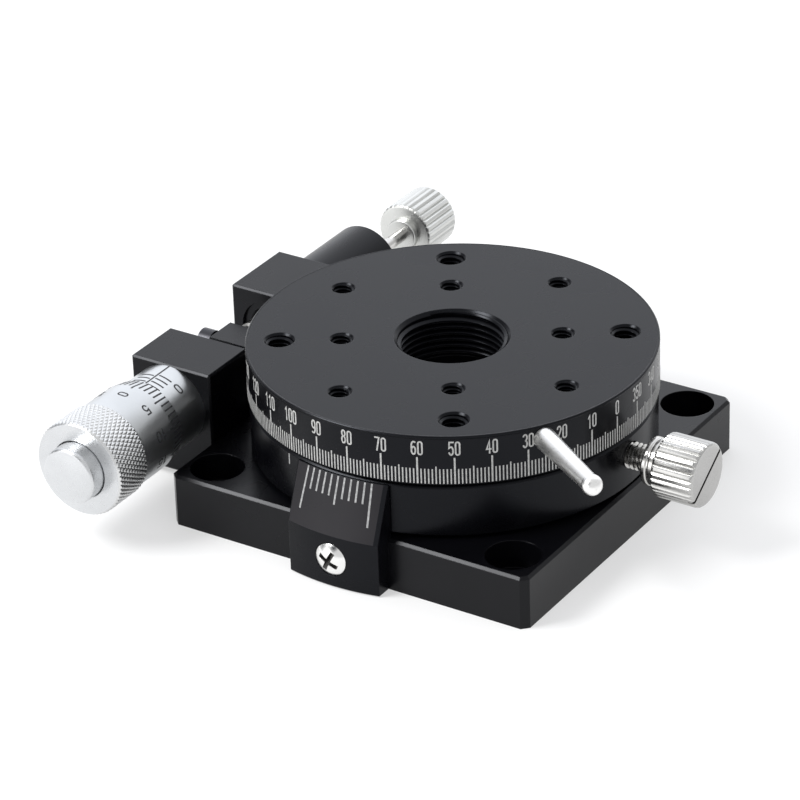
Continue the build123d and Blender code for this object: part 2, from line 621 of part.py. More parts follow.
def micrometer_spindle():
    """Spindle with its screw part, turning with the thimble."""
    back = THIMBLE_BACK + THIMBLE_CHAMFER
    shaft = turned([
        (0, back), (SPINDLE_R, back), (SPINDLE_R, THIMBLE_WALL_Y + SEAT_GAP),
        (SPINDLE_SCREW_R, THIMBLE_WALL_Y + SEAT_GAP), (SPINDLE_SCREW_R, SPINDLE_SCREW_FRONT),
        (SPINDLE_R, SPINDLE_SCREW_FRONT), (SPINDLE_R, SPINDLE_FRONT), (0, SPINDLE_FRONT)
    ])
    socket = Pos(0, 0, BALL_CENTRE) * Sphere(SPINDLE_BALL_R + RUN_GAP)
    return along_y(shaft - socket)


def micrometer_thimble():
    """Thimble over the sleeve, with a bevelled reading edge and a raised grip."""
    bore = SLEEVE_R + RUN_GAP
    step = KNURL_R - THIMBLE_R
    return along_y(turned([
        (SPINDLE_R + SEAT_GAP, THIMBLE_BACK), (KNURL_R - THIMBLE_CHAMFER, THIMBLE_BACK),
        (KNURL_R, THIMBLE_BACK + THIMBLE_CHAMFER), (KNURL_R, KNURL_START - step), (THIMBLE_R, KNURL_START),
        (THIMBLE_R, THIMBLE_EDGE - THIMBLE_BEVEL_LENGTH), (THIMBLE_EDGE_R, THIMBLE_EDGE), (bore, THIMBLE_EDGE),
        (bore, THIMBLE_WALL_Y), (SPINDLE_R + SEAT_GAP, THIMBLE_WALL_Y)
    ]))


def thimble_cap():
    """Button that closes the end of the thimble, with a shallow dome."""
    rim = THIMBLE_BACK - CAP_LENGTH + CAP_DOME
    crown = CAP_R - CAP_EDGE
    foot = THIMBLE_BACK - SEAT_GAP
    drum = turned([(0, rim), (crown, rim), (CAP_R, rim + CAP_EDGE), (CAP_R, foot), (0, foot)])
    return along_y(drum + dome(crown, rim, THIMBLE_BACK - CAP_LENGTH))


def spring_housing():
    """Tube screwed into the spring block, closed at its back but for the rod."""
    bore = PLUNGER_R + RUN_GAP
    return along_y(turned([
        (bore + SPIGOT_CHAMFER, SPIGOT_FRONT), (SPIGOT_R, SPIGOT_FRONT), (SPIGOT_R, SPRING_BLOCK_BACK),
        (HOUSING_R, SPRING_BLOCK_BACK), (HOUSING_R, HOUSING_END - HOUSING_EDGE),
        (HOUSING_R - HOUSING_EDGE, HOUSING_END),
        (ROD_R + RUN_GAP, HOUSING_END), (ROD_R + RUN_GAP, HOUSING_CAVITY_END),
        (bore, HOUSING_CAVITY_END), (bore, SPIGOT_FRONT + SPIGOT_CHAMFER)
    ]))


def spring_plunger():
    """Hollow plunger with a rounded nose that pushes the arm back onto the spindle."""
    shoulder = PLUNGER_FRONT + PLUNGER_NOSE
    hole = ROD_R + SEAT_GAP
    tube = turned([
        (0, shoulder), (PLUNGER_R, shoulder), (PLUNGER_R, PLUNGER_BACK), (PLUNGER_BORE_R, PLUNGER_BACK),
        (PLUNGER_BORE_R, PLUNGER_SEAT), (hole, PLUNGER_SEAT), (hole, ROD_FRONT - SEAT_GAP),
        (0, ROD_FRONT - SEAT_GAP)
    ])
    return along_y(tube + dome(PLUNGER_R, shoulder, PLUNGER_FRONT))


def return_spring():
    """Compression spring between the plunger and the closed end of the housing."""
    start = PLUNGER_SEAT + SPRING_WIRE_R + SEAT_GAP
    length = HOUSING_CAVITY_END - SPRING_WIRE_R - SEAT_GAP - start
    path = Helix(length / SPRING_TURNS, length, SPRING_MEAN_R)
    section = Plane(origin=path @ 0, z_dir=path % 0) * RegularPolygon(SPRING_WIRE_R, 6)
    return along_y(Pos(0, 0, start) * sweep(section, path, is_frenet=True))


def plunger_rod():
    """Thin rod screwed into the plunger, through the spring and the end of the housing."""
    return along_y(rod(ROD_R, ROD_FRONT, PULL_KNOB_FRONT + PULL_KNOB_BITE))


def pull_knob():
    """Knurled knob on the end of the rod, which pulls the plunger off the arm."""
    collar = PULL_KNOB_FRONT - PULL_KNOB_COLLAR_LENGTH
    head = Pos(0, 0, PULL_KNOB_FRONT) * knurled_head(PULL_KNOB_BACK - PULL_KNOB_FRONT)
    blank = head + rod(PULL_KNOB_COLLAR_R, collar, PULL_KNOB_FRONT)
    return along_y(blank - rod(ROD_R + SEAT_GAP, collar - 1, PULL_KNOB_FRONT + PULL_KNOB_BITE + SEAT_GAP))


def ring_clamp_pad():
    """Brass pad between the clamp screw and the hub."""
    return along_x(rod(CLAMP_PAD_R, CLAMP_PAD_X, CLAMP_PAD_X + CLAMP_PAD_LENGTH), 0, CLAMP_Z)


def ring_clamp_screw():
    """Thumb screw in the fine feed ring, with a collar, a knurled head and a slot."""
    tip = CLAMP_PAD_X + CLAMP_PAD_LENGTH + SEAT_GAP
    body = rod(CLAMP_THREAD_R, tip, CLAMP_COLLAR_X) + rod(CLAMP_COLLAR_R, CLAMP_COLLAR_X, CLAMP_HEAD_X)
    body += Pos(0, 0, CLAMP_HEAD_X) * knurled_head(CLAMP_END_X - CLAMP_HEAD_X)
    slot = Pos(0, 0, CLAMP_END_X) * Box(CLAMP_SLOT_WIDTH, 3 * KNOB_R, 2 * CLAMP_SLOT_DEPTH)
    return along_x(body - Rot(0, 0, CLAMP_SLOT_ANGLE) * slot, 0, CLAMP_Z)


def vernier_block():
    """Curved block on the front of the base, with a sloping panel for the vernier lines."""
    body = turned([
        (HALF_BASE - VERNIER_LAP, VERNIER_BOTTOM), (VERNIER_R, VERNIER_BOTTOM), (VERNIER_R, VERNIER_CREASE),
        (VERNIER_TOP_R, VERNIER_TOP), (VERNIER_BORE_R, VERNIER_TOP), (VERNIER_BORE_R, BASE_HEIGHT),
        (HALF_BASE - VERNIER_LAP, BASE_HEIGHT)
    ])
    body &= box((-VERNIER_HALF_WIDTH, -VERNIER_R - 1, 0), (VERNIER_HALF_WIDTH, 0, VERNIER_TOP + 1))
    body -= box((-HALF_BASE, -HALF_BASE, -1), (HALF_BASE, HALF_BASE, BASE_HEIGHT))
    hole = rod(VERNIER_SCREW_R + SEAT_GAP, -VERNIER_R - 1, 0)
    hole += rod(VERNIER_RECESS_R, -VERNIER_R - 1, -VERNIER_RECESS_Y)
    return body - along_y(hole, 0, VERNIER_SCREW_Z)


def vernier_screw():
    """Pan head screw with a cross recess."""
    top = VERNIER_HEAD_HEIGHT
    head = rod(VERNIER_HEAD_R, 0, top / 2) + dome(VERNIER_HEAD_R, top / 2, top)
    cross = Box(CROSS_LENGTH, CROSS_WIDTH, CROSS_DEPTH) + Box(CROSS_WIDTH, CROSS_LENGTH, CROSS_DEPTH)
    head -= Pos(0, 0, top - CROSS_DEPTH / 2) * Rot(0, 0, 20) * cross
    screw = head + rod(VERNIER_SCREW_R, VERNIER_SCREW_TIP - VERNIER_RECESS_Y, 0)
    return Pos(0, -VERNIER_RECESS_Y, VERNIER_SCREW_Z) * Rot(90, 0, 0) * screw


PARTS = {
    "base_plate": base_plate,
    "bearing_outer_ring_lower": lambda: bearing_outer_half(False),
    "bearing_outer_ring_upper": lambda: bearing_outer_half(True),
    "bearing_retainer": bearing_retainer,
    "retainer_screws": retainer_screws,
    "thrust_washer": thrust_washer,
    "vernier_block": vernier_block,
    "vernier_screw": vernier_screw,
    "micrometer_block": lambda: side_block(MIC_BLOCK_FRONT, MIC_BLOCK_BACK, STEM_R + SEAT_GAP),
    "micrometer_block_screws": lambda: block_screws(MIC_BLOCK_FRONT, MIC_BLOCK_BACK),
    "micrometer_sleeve": micrometer_sleeve,
    "micrometer_nut": micrometer_nut,
    "spring_block": lambda: side_block(SPRING_BLOCK_FRONT, SPRING_BLOCK_BACK, SPIGOT_R + SEAT_GAP),
    "spring_block_screws": lambda: block_screws(SPRING_BLOCK_FRONT, SPRING_BLOCK_BACK),
    "spring_housing": spring_housing,
    "bearing_rollers": bearing_rollers,
    "table": table,
    "bearing_inner_ring": bearing_inner_ring,
    "hub_clamp_ring": hub_clamp_ring,
    "hub_clamp_screws": hub_clamp_screws,
    "turning_lever": turning_lever,
    "fine_feed_ring": fine_feed_ring,
    "drive_arm": drive_arm,
    "arm_screws": arm_screws,
    "anvil_pin": anvil_pin,
    "spindle_ball": spindle_ball,
    "micrometer_spindle": micrometer_spindle,
    "micrometer_thimble": micrometer_thimble,
    "thimble_cap": thimble_cap,
    "spring_plunger": spring_plunger,
    "return_spring": return_spring,
    "plunger_rod": plunger_rod,
    "pull_knob": pull_knob,
    "ring_clamp_pad": ring_clamp_pad,
    "ring_clamp_screw": ring_clamp_screw,
}

os.makedirs("parts", exist_ok=True)
for name, make in PARTS.items():
    export_step(make(), f"parts/{name}.step")
    print("wrote", name)
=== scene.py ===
"""Looks of a manual rotation stage: black anodised plates, an engraved dial, a satin micrometer head.

Lengths in the classes are millimetres in the frame of the stage: origin on the turning axis at the
underside of the base, +Z up, the vernier on the -Y side and the micrometer line on the -X side.
"""

from __future__ import annotations

import json
import logging
import math
from dataclasses import dataclass, field
from enum import Enum
from typing import Callable, Sequence

import bmesh
import bpy
from mathutils import Matrix, Vector

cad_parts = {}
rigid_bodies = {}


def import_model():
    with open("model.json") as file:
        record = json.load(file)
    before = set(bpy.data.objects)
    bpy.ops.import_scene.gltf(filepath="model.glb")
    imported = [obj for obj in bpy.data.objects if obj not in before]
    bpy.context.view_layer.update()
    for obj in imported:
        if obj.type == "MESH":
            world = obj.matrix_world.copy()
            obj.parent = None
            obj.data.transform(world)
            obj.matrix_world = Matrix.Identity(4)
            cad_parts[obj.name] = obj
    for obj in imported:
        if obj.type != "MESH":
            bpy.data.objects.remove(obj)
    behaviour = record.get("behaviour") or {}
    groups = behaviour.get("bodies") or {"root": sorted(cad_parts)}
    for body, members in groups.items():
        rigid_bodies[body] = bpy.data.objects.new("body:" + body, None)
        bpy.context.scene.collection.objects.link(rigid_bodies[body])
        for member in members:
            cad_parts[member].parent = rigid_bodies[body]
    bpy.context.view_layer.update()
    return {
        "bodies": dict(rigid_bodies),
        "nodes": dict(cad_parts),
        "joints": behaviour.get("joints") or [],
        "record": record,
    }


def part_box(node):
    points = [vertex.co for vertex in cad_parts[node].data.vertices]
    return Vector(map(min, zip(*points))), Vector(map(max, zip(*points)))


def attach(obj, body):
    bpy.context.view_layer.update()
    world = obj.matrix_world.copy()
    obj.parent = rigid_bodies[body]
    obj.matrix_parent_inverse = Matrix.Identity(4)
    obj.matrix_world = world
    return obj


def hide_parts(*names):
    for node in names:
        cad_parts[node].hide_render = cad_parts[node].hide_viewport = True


LOG = logging.getLogger("rotation_stage")

# A millimetre, and the distance at which two points become one, in metres.
MM = 0.001
WELD = 1e-8

Tone = tuple[float, float, float]
Point = tuple[float, float, float]
Stroke = list[tuple[float, float]]
Wrap = Callable[[float, float, float], Point]
Socket = bpy.types.NodeSocket
Material = bpy.types.Material


class Slot(Enum):
    """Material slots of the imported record."""

    BLACK = "black_anodised"
    CHROME = "satin_chrome"
    BRIGHT = "bright_steel"
    BEARING = "bearing_steel"
    SCREW = "dark_screw"
    SPRING = "spring_steel"
    BRASS = "brass"
    BRONZE = "bronze"


class Side(Enum):
    """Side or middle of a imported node's box: its axis, and the share of the way from low to high."""

    RIGHT = (0, 1.0)
    FRONT = (1, 0.0)
    BACK = (1, 1.0)
    TOP = (2, 1.0)
    MIDDLE_X = (0, 0.5)
    MIDDLE_Z = (2, 0.5)


def from_frame(node: str, side: Side) -> float:
    """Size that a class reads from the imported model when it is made.

    Args:
        node: name of the node.
        side: side or middle of its box.

    Returns:
        The dataclass field, in millimetres.
    """

    def read() -> float:
        """Place of that side."""
        low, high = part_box(node)
        axis, share = side.value
        return (low[axis] + share * (high[axis] - low[axis])) / MM

    return field(default_factory=read)


class Axis(Enum):
    """Which way a turned shape that was drawn along Z is laid."""

    X = "x"
    Y = "y"
    MINUS_Y = "-y"


class NodeBench:
    """Small helper that builds the node tree of one material."""

    def __init__(self, name: str) -> None:
        """Starts a material with its Principled shader.

        Args:
            name: name of the material.
        """
        self.material = bpy.data.materials.new(name)
        self.material.use_nodes = True
        self.tree = self.material.node_tree
        self.shader = self.tree.nodes["Principled BSDF"]
        self.coords = self.tree.nodes.new("ShaderNodeTexCoord")

    def node(self, kind: str, **values: object) -> bpy.types.Node:
        """Adds a node and sets its attributes.

        Args:
            kind: Blender's name of the node type.
            values: attributes of the node.

        Returns:
            The new node.
        """
        made = self.tree.nodes.new(kind)
        for key, value in values.items():
            setattr(made, key, value)
        return made

    def link(self, source: Socket, target: Socket) -> None:
        """Joins two sockets."""
        self.tree.links.new(source, target)

    def scaled(self, scale: Point) -> Socket:
        """Object coordinates, scaled along each axis.

        Args:
            scale: repeats per metre along X, Y and Z.

        Returns:
            The socket with the scaled coordinates.
        """
        mapping = self.node("ShaderNodeMapping")
        mapping.inputs["Scale"].default_value = scale
        self.link(self.coords.outputs["Object"], mapping.inputs["Vector"])
        return mapping.outputs["Vector"]

    def noise(self, scale: Point, detail: float = 2.0) -> Socket:
        """Noise in object space.

        Args:
            scale: repeats per metre along X, Y and Z.
            detail: octaves of the noise.

        Returns:
            The noise value.
        """
        made = self.node("ShaderNodeTexNoise")
        made.inputs["Scale"].default_value = 1.0
        made.inputs["Detail"].default_value = detail
        self.link(self.scaled(scale), made.inputs["Vector"])
        return made.outputs["Fac"]

    def ranged(self, value: Socket, low: float, high: float) -> Socket:
        """Spreads a noise value between two limits.

        Args:
            value: the noise.
            low: result where the noise is at its usual low of 0.3.
            high: result where it is at its usual high of 0.7.

        Returns:
            The spread value.
        """
        made = self.node("ShaderNodeMapRange")
        made.inputs["From Min"].default_value = 0.3
        made.inputs["From Max"].default_value = 0.7
        made.inputs["To Min"].default_value = low
        made.inputs["To Max"].default_value = high
        self.link(value, made.inputs["Value"])
        return made.outputs["Result"]

    def soft_edge(self, radius_mm: float) -> Socket:
        """Normal that rounds off sharp edges, as blasting does.

        Args:
            radius_mm: radius of the rounding.

        Returns:
            The rounded normal.
        """
        made = self.node("ShaderNodeBevel", samples=4)
        made.inputs["Radius"].default_value = radius_mm * MM
        return made.outputs["Normal"]

    def bump(self, value: Socket, depth_mm: float, strength: float, normal: Socket | None = None) -> None:
        """Adds a bump to the shader.

        Args:
            value: height between 0 and 1.
            depth_mm: height of the full step.
            strength: share of the effect that is used.
            normal: normal that the bump starts from, where it isn't the surface's own.
        """
        made = self.node("ShaderNodeBump")
        if normal is not None:
            self.link(normal, made.inputs["Normal"])
        made.inputs["Distance"].default_value = depth_mm * MM
        made.inputs["Strength"].default_value = strength
        self.link(value, made.inputs["Height"])
        self.link(made.outputs["Normal"], self.shader.inputs["Normal"])

    def blend_tones(self, value: Socket, first: Tone, second: Tone) -> None:
        """Varies the base colour between two tones.

        Args:
            value: share of the second tone.
            first: linear red, green and blue.
            second: linear red, green and blue.
        """
        made = self.node("ShaderNodeMix", data_type="RGBA")
        made.inputs["A"].default_value = (*first, 1.0)
        made.inputs["B"].default_value = (*second, 1.0)
        self.link(value, made.inputs["Factor"])
        self.link(made.outputs["Result"], self.shader.inputs["Base Color"])

    def vary_roughness(self, value: Socket, middle: float, spread: float) -> None:
        """Varies the roughness to both sides of its middle.

        Args:
            value: the noise that it follows.
            middle: roughness in the middle.
            spread: how far it goes to each side.
        """
        low = max(0.02, middle - spread)
        self.link(self.ranged(value, low, middle + spread), self.shader.inputs["Roughness"])


@dataclass(frozen=True)
class AnodisedFinish:
    """Bead-blasted aluminium with a dyed anodic layer."""

    name: str = "black_anodised"
    tone: Tone = (0.001, 0.001, 0.0015)
    worn_tone: Tone = (0.002, 0.002, 0.003)
    roughness: float = 0.29
    roughness_spread: float = 0.04
    patches_per_m: float = 90.0
    blast_per_mm: float = 9.0
    blast_depth_mm: float = 0.004
    blast_strength: float = 0.35
    specular: float = 0.22
    tint: Tone = (0.95, 0.96, 1.0)
    edge_mm: float = 0.16

    def build(self) -> Material:
        """Makes the material.

        Returns:
            The finished material.
        """
        bench = NodeBench(self.name)
        patches = bench.noise(3 * (self.patches_per_m,), 3.0)
        bench.blend_tones(bench.ranged(patches, 0.0, 1.0), self.tone, self.worn_tone)
        bench.vary_roughness(patches, self.roughness, self.roughness_spread)
        blast = bench.noise(3 * (self.blast_per_mm / MM,), 1.0)
        bench.bump(blast, self.blast_depth_mm, self.blast_strength, bench.soft_edge(self.edge_mm))
        bench.shader.inputs["Specular IOR Level"].default_value = self.specular
        bench.shader.inputs["Specular Tint"].default_value = (*self.tint, 1.0)
        return bench.material


@dataclass(frozen=True)
class MetalFinish:
    """Bare or plated metal with fine tool marks."""

    name: str
    tone: Tone
    roughness: float
    roughness_spread: float = 0.05
    marks_per_mm: Point = (6.0, 6.0, 6.0)
    mark_depth_mm: float = 0.002
    mark_strength: float = 0.3
    stains_per_m: float = 140.0
    stain: float = 0.9

    def build(self) -> Material:
        """Makes the material.

        Returns:
            The finished material.
        """
        bench = NodeBench(self.name)
        marks = bench.noise(tuple(value / MM for value in self.marks_per_mm))
        stains = bench.noise(3 * (self.stains_per_m,), 3.0)
        stained = tuple(self.stain * value for value in self.tone)
        bench.blend_tones(bench.ranged(stains, 0.0, 1.0), self.tone, stained)
        bench.vary_roughness(marks, self.roughness, self.roughness_spread)
        bench.bump(marks, self.mark_depth_mm, self.mark_strength)
        bench.shader.inputs["Metallic"].default_value = 1.0
        return bench.material


@dataclass(frozen=True)
class PaintFinish:
    """Paint wiped into an engraving."""

    name: str
    tone: Tone
    thin_tone: Tone
    roughness: float = 0.6
    patches_per_m: float = 2600.0
    patch_depth_mm: float = 0.01
    patch_strength: float = 0.3

    def build(self) -> Material:
        """Makes the material.

        Returns:
            The finished material.
        """
        bench = NodeBench(self.name)
        patches = bench.noise(3 * (self.patches_per_m,))
        bench.blend_tones(bench.ranged(patches, 0.0, 1.0), self.tone, self.thin_tone)
        bench.bump(patches, self.patch_depth_mm, self.patch_strength)
        bench.shader.inputs["Roughness"].default_value = self.roughness
        return bench.material


@dataclass(frozen=True)
class FloorFinish:
    """White light table under the stage, lit from below."""

    name: str = "light_table"
    tone: Tone = (0.46, 0.46, 0.46)
    glow: float = 0.5
    roughness: float = 0.9
    grain_per_m: float = 900.0
    grain_shade: float = 0.99

    def build(self) -> Material:
        """Makes the material.

        Returns:
            The finished material.
        """
        bench = NodeBench(self.name)
        grain = bench.noise(3 * (self.grain_per_m,))
        bench.blend_tones(grain, self.tone, tuple(self.grain_shade * value for value in self.tone))
        bench.shader.inputs["Roughness"].default_value = self.roughness
        bench.shader.inputs["Specular IOR Level"].default_value = 0.0
        bench.shader.inputs["Emission Color"].default_value = (1.0, 1.0, 1.0, 1.0)
        bench.shader.inputs["Emission Strength"].default_value = self.glow
        return bench.material


class Finishes:
    """All finishes of the stage, each built once."""

    def __init__(self) -> None:
        """Builds the materials."""
        turned_marks = (4.0, 4.0, 4.0)
        oxide_marks = (8.0, 8.0, 8.0)
        nickel = (0.93, 0.925, 0.91)
        self.black = AnodisedFinish().build()
        self.turned_black = AnodisedFinish(
            "black_turned", roughness=0.27, specular=0.165, tint=(0.87, 0.91, 1.0)
        ).build()
        self.milled_black = AnodisedFinish("black_milled", specular=0.18, tint=(0.92, 0.94, 1.0)).build()
        # Black about ten times lighter than the anodising, for the vernier's sloping face: painted sheen.
        self.ground_black = AnodisedFinish(
            "black_painted_sheen", (0.011, 0.01, 0.0115), (0.017, 0.0155, 0.0175)
        ).build()
        self.satin = MetalFinish(
            "satin_chrome", (0.59, 0.605, 0.615), 0.33, 0.05, (3.0, 30.0, 3.0), 0.003, 0.25
        ).build()
        self.knurl = MetalFinish("knurled_chrome", (0.73, 0.735, 0.735), 0.3, 0.06, (9.0, 9.0, 9.0)).build()
        self.turned_chrome = MetalFinish("turned_chrome", (0.68, 0.69, 0.70), 0.3, 0.04, turned_marks).build()
        self.polished = MetalFinish("polished_nickel", nickel, 0.2, 0.04, turned_marks).build()
        self.lever_nickel = MetalFinish("lever_nickel", nickel, 0.31, 0.04, turned_marks).build()
        self.brushed = MetalFinish("brushed_nickel", (0.66, 0.665, 0.645), 0.33, 0.06, turned_marks).build()
        self.knob_nickel = MetalFinish("knurled_nickel", (0.50, 0.497, 0.485), 0.24, 0.06).build()
        self.faced = MetalFinish("faced_nickel", (0.46, 0.455, 0.445), 0.3).build()
        self.bright = MetalFinish(
            "bright_nickel", (0.64, 0.63, 0.61), 0.16, marks_per_mm=turned_marks, mark_strength=0.2
        ).build()
        # Rougher, darker steel for the faces inside the screw's cross recess and the knob's slot; its dark
        # tone is painted shade in those hollows.
        self.cut = MetalFinish(
            "painted_recess_shade", (0.16, 0.155, 0.15), 0.42, 0.08, (12.0, 12.0, 12.0), 0.004, 0.4
        ).build()
        self.bearing = MetalFinish("bearing_steel", (0.56, 0.57, 0.58), 0.22, 0.05, (5.0, 5.0, 40.0)).build()
        self.screw = MetalFinish("black_oxide", (0.05, 0.05, 0.055), 0.38, 0.08, oxide_marks).build()
        self.spring = MetalFinish("spring_wire", (0.45, 0.45, 0.46), 0.3, 0.06, oxide_marks).build()
        self.brass = MetalFinish("turned_brass", (0.78, 0.56, 0.24), 0.28, 0.06, (30.0, 4.0, 4.0)).build()
        self.bronze = MetalFinish("oiled_bronze", (0.52, 0.34, 0.18), 0.34, 0.08).build()
        self.white_paint = PaintFinish("white_engraving", (0.50, 0.50, 0.49), (0.34, 0.34, 0.33)).build()
        self.grey_paint = PaintFinish("thin_white_engraving", (0.40, 0.40, 0.40), (0.22, 0.22, 0.22)).build()
        self.black_paint = PaintFinish("black_engraving", (0.012, 0.012, 0.014), (0.03, 0.03, 0.032)).build()
        self.light_table = FloorFinish().build()

    def for_node(self, node: str, slot: Slot) -> Material:
        """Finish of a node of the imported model.

        Args:
            node: name of the node.
            slot: its slot in the record.

        Returns:
            The node's own finish where it has one, or else that of its slot.
        """
        of_node = {
            "table": self.turned_black,
            "fine_feed_ring": self.turned_black,
            "vernier_block": self.turned_black,
            "micrometer_block": self.milled_black,
            "spring_block": self.milled_black,
            "spring_housing": self.milled_black,
            "drive_arm": self.milled_black,
            "turning_lever": self.lever_nickel,
        }
        of_slot = {
            Slot.BLACK: self.black,
            Slot.CHROME: self.satin,
            Slot.BRIGHT: self.bright,
            Slot.BEARING: self.bearing,
            Slot.SCREW: self.screw,
            Slot.SPRING: self.spring,
            Slot.BRASS: self.brass,
            Slot.BRONZE: self.bronze,
        }
        return of_node.get(node, of_slot[slot])


class Shape:
    """A mesh under construction, in millimetres."""

    def __init__(self) -> None:
        """Starts with no points and no faces."""
        self.points: list[Point] = []
        self.faces: list[tuple[int, ...]] = []

    def add(self, points: Sequence[Point], faces: Sequence[tuple[int, ...]]) -> None:
        """Adds a patch whose faces count from its own first point.

        Args:
            points: corners of the patch.
            faces: faces as indices into those corners.
        """
        start = len(self.points)
        self.points.extend(points)
        self.faces.extend(tuple(start + index for index in face) for face in faces)

    def grid(
        self, rows: Sequence[Sequence[Point]], wrap_rows: bool = False, wrap_columns: bool = False
    ) -> None:
        """Adds a grid of quads between rows of points.

        Args:
            rows: rows with as many points each.
            wrap_rows: joins the last row to the first.
            wrap_columns: joins the last point of each row to its first.
        """
        width = len(rows[0])
        points = [point for row in rows for point in row]
        faces = []
        for i in range(len(rows) if wrap_rows else len(rows) - 1):
            for j in range(width if wrap_columns else width - 1):
                below = (i + 1) % len(rows)
                beside = (j + 1) % width
                faces.append((i * width + j, i * width + beside, below * width + beside, below * width + j))
        self.add(points, faces)

    def disc(self, rim: Sequence[Point], flip: bool = False) -> None:
        """Closes a ring of points with one face.

        Args:
            rim: the ring.
            flip: turns the face over.
        """
        order = list(range(len(rim)))
        self.add(list(rim), [tuple(reversed(order)) if flip else tuple(order)])

    def tube(self, rings: Sequence[Sequence[Point]]) -> None:
        """Adds a wall through rings of points and closes both ends.

        Args:
            rings: rings with as many points each.
        """
        self.grid(rings, wrap_columns=True)
        self.disc(rings[0], flip=True)
        self.disc(rings[-1])

    def build(
        self, name: str, material: Material, matrix: Matrix = Matrix.Identity(4), sharp_deg: float = 32.0
    ) -> bpy.types.Object:
        """Makes the Blender object.

        Args:
            name: name of the piece.
            material: its finish.
            matrix: placement in millimetres.
            sharp_deg: edges that turn more than this stay sharp.

        Returns:
            The object, in metres.
        """
        mesh = bpy.data.meshes.new(name)
        places = [tuple(MM * value for value in matrix @ Vector(point)) for point in self.points]
        mesh.from_pydata(places, [], self.faces)
        work = bmesh.new()
        work.from_mesh(mesh)
        bmesh.ops.remove_doubles(work, verts=work.verts, dist=WELD)
        bmesh.ops.recalc_face_normals(work, faces=work.faces)
        limit = math.radians(sharp_deg)
        for face in work.faces:
            face.smooth = True
        for edge in work.edges:
            edge.smooth = len(edge.link_faces) == 2 and edge.calc_face_angle(math.pi) < limit
        work.to_mesh(mesh)
        work.free()
        mesh.materials.append(material)
        made = bpy.data.objects.new(name, mesh)
        bpy.context.scene.collection.objects.link(made)
        return made


def lay(axis: Axis, origin: Point) -> Matrix:
    """Placement of a shape that was drawn along Z.

    Args:
        axis: the way that the shape's Z goes to.
        origin: where the shape's origin goes.

    Returns:
        The placement.
    """
    turn = {
        Axis.X: Matrix.Rotation(math.radians(90.0), 4, "Y"),
        Axis.Y: Matrix.Rotation(math.radians(-90.0), 4, "X"),
        Axis.MINUS_Y: Matrix.Rotation(math.radians(90.0), 4, "X"),
    }[axis]
    return Matrix.Translation(origin) @ turn


def about_z(degrees: float) -> Matrix:
    """Turn about the axis of a shape that is drawn along Z."""
    return Matrix.Rotation(math.radians(degrees), 4, "Z")


def polar(radius: float, angle: float, height: float) -> Point:
    """Point at a radius, an angle in radians and a height."""
    return (radius * math.cos(angle), radius * math.sin(angle), height)


def round_angles(steps: int) -> list[float]:
    """Even angles round a full turn, in radians."""
    return [2.0 * math.pi * i / steps for i in range(steps)]


def turned(profile: Sequence[tuple[float, float]], steps: int, closed: bool = False) -> Shape:
    """Solid of revolution about Z.

    Args:
        profile: radius and height of each corner.
        steps: flats round the axis.
        closed: joins the last corner to the first.

    Returns:
        The shape, with a flat face at each end where the profile isn't closed.
    """
    shape = Shape()
    rings = [[polar(radius, angle, height) for angle in round_angles(steps)] for radius, height in profile]
    if closed:
        shape.grid(rings, wrap_rows=True, wrap_columns=True)
    else:
        shape.tube(rings)
    return shape


def rounded(corners: Sequence[tuple[float, float, float]], steps: int = 4) -> list[tuple[float, float]]:
    """Profile with rounded corners.

    Args:
        corners: radius, height and rounding of each corner.
        steps: pieces of each rounding.

    Returns:
        The corners with an arc in place of each rounded one.
    """
    path: list[tuple[float, float]] = []
    for i, (radius, height, rounding) in enumerate(corners):
        if rounding <= 0.0 or i in (0, len(corners) - 1):
            path.append((radius, height))
            continue
        here = Vector((radius, height))
        before = (Vector(corners[i - 1][:2]) - here).normalized() * rounding
        after = (Vector(corners[i + 1][:2]) - here).normalized() * rounding
        for k in range(steps + 1):
            share = k / steps
            point = here + before * (1.0 - share) ** 2 + after * share**2
            path.append((point.x, point.y))
    return path


def divided(stroke: Stroke, step: float = 0.3) -> Stroke:
    """Adds points to a stroke so that it can follow a curved face.

    Args:
        stroke: the polyline.
        step: longest run between two points.

    Returns:
        The same line with more points.
    """
    path = [stroke[0]]
    for start, end in zip(stroke, stroke[1:]):
        count = max(1, math.ceil(math.dist(start, end) / step))
        for i in range(1, count + 1):
            share = i / count
            path.append((start[0] + share * (end[0] - start[0]), start[1] + share * (end[1] - start[1])))
    return path


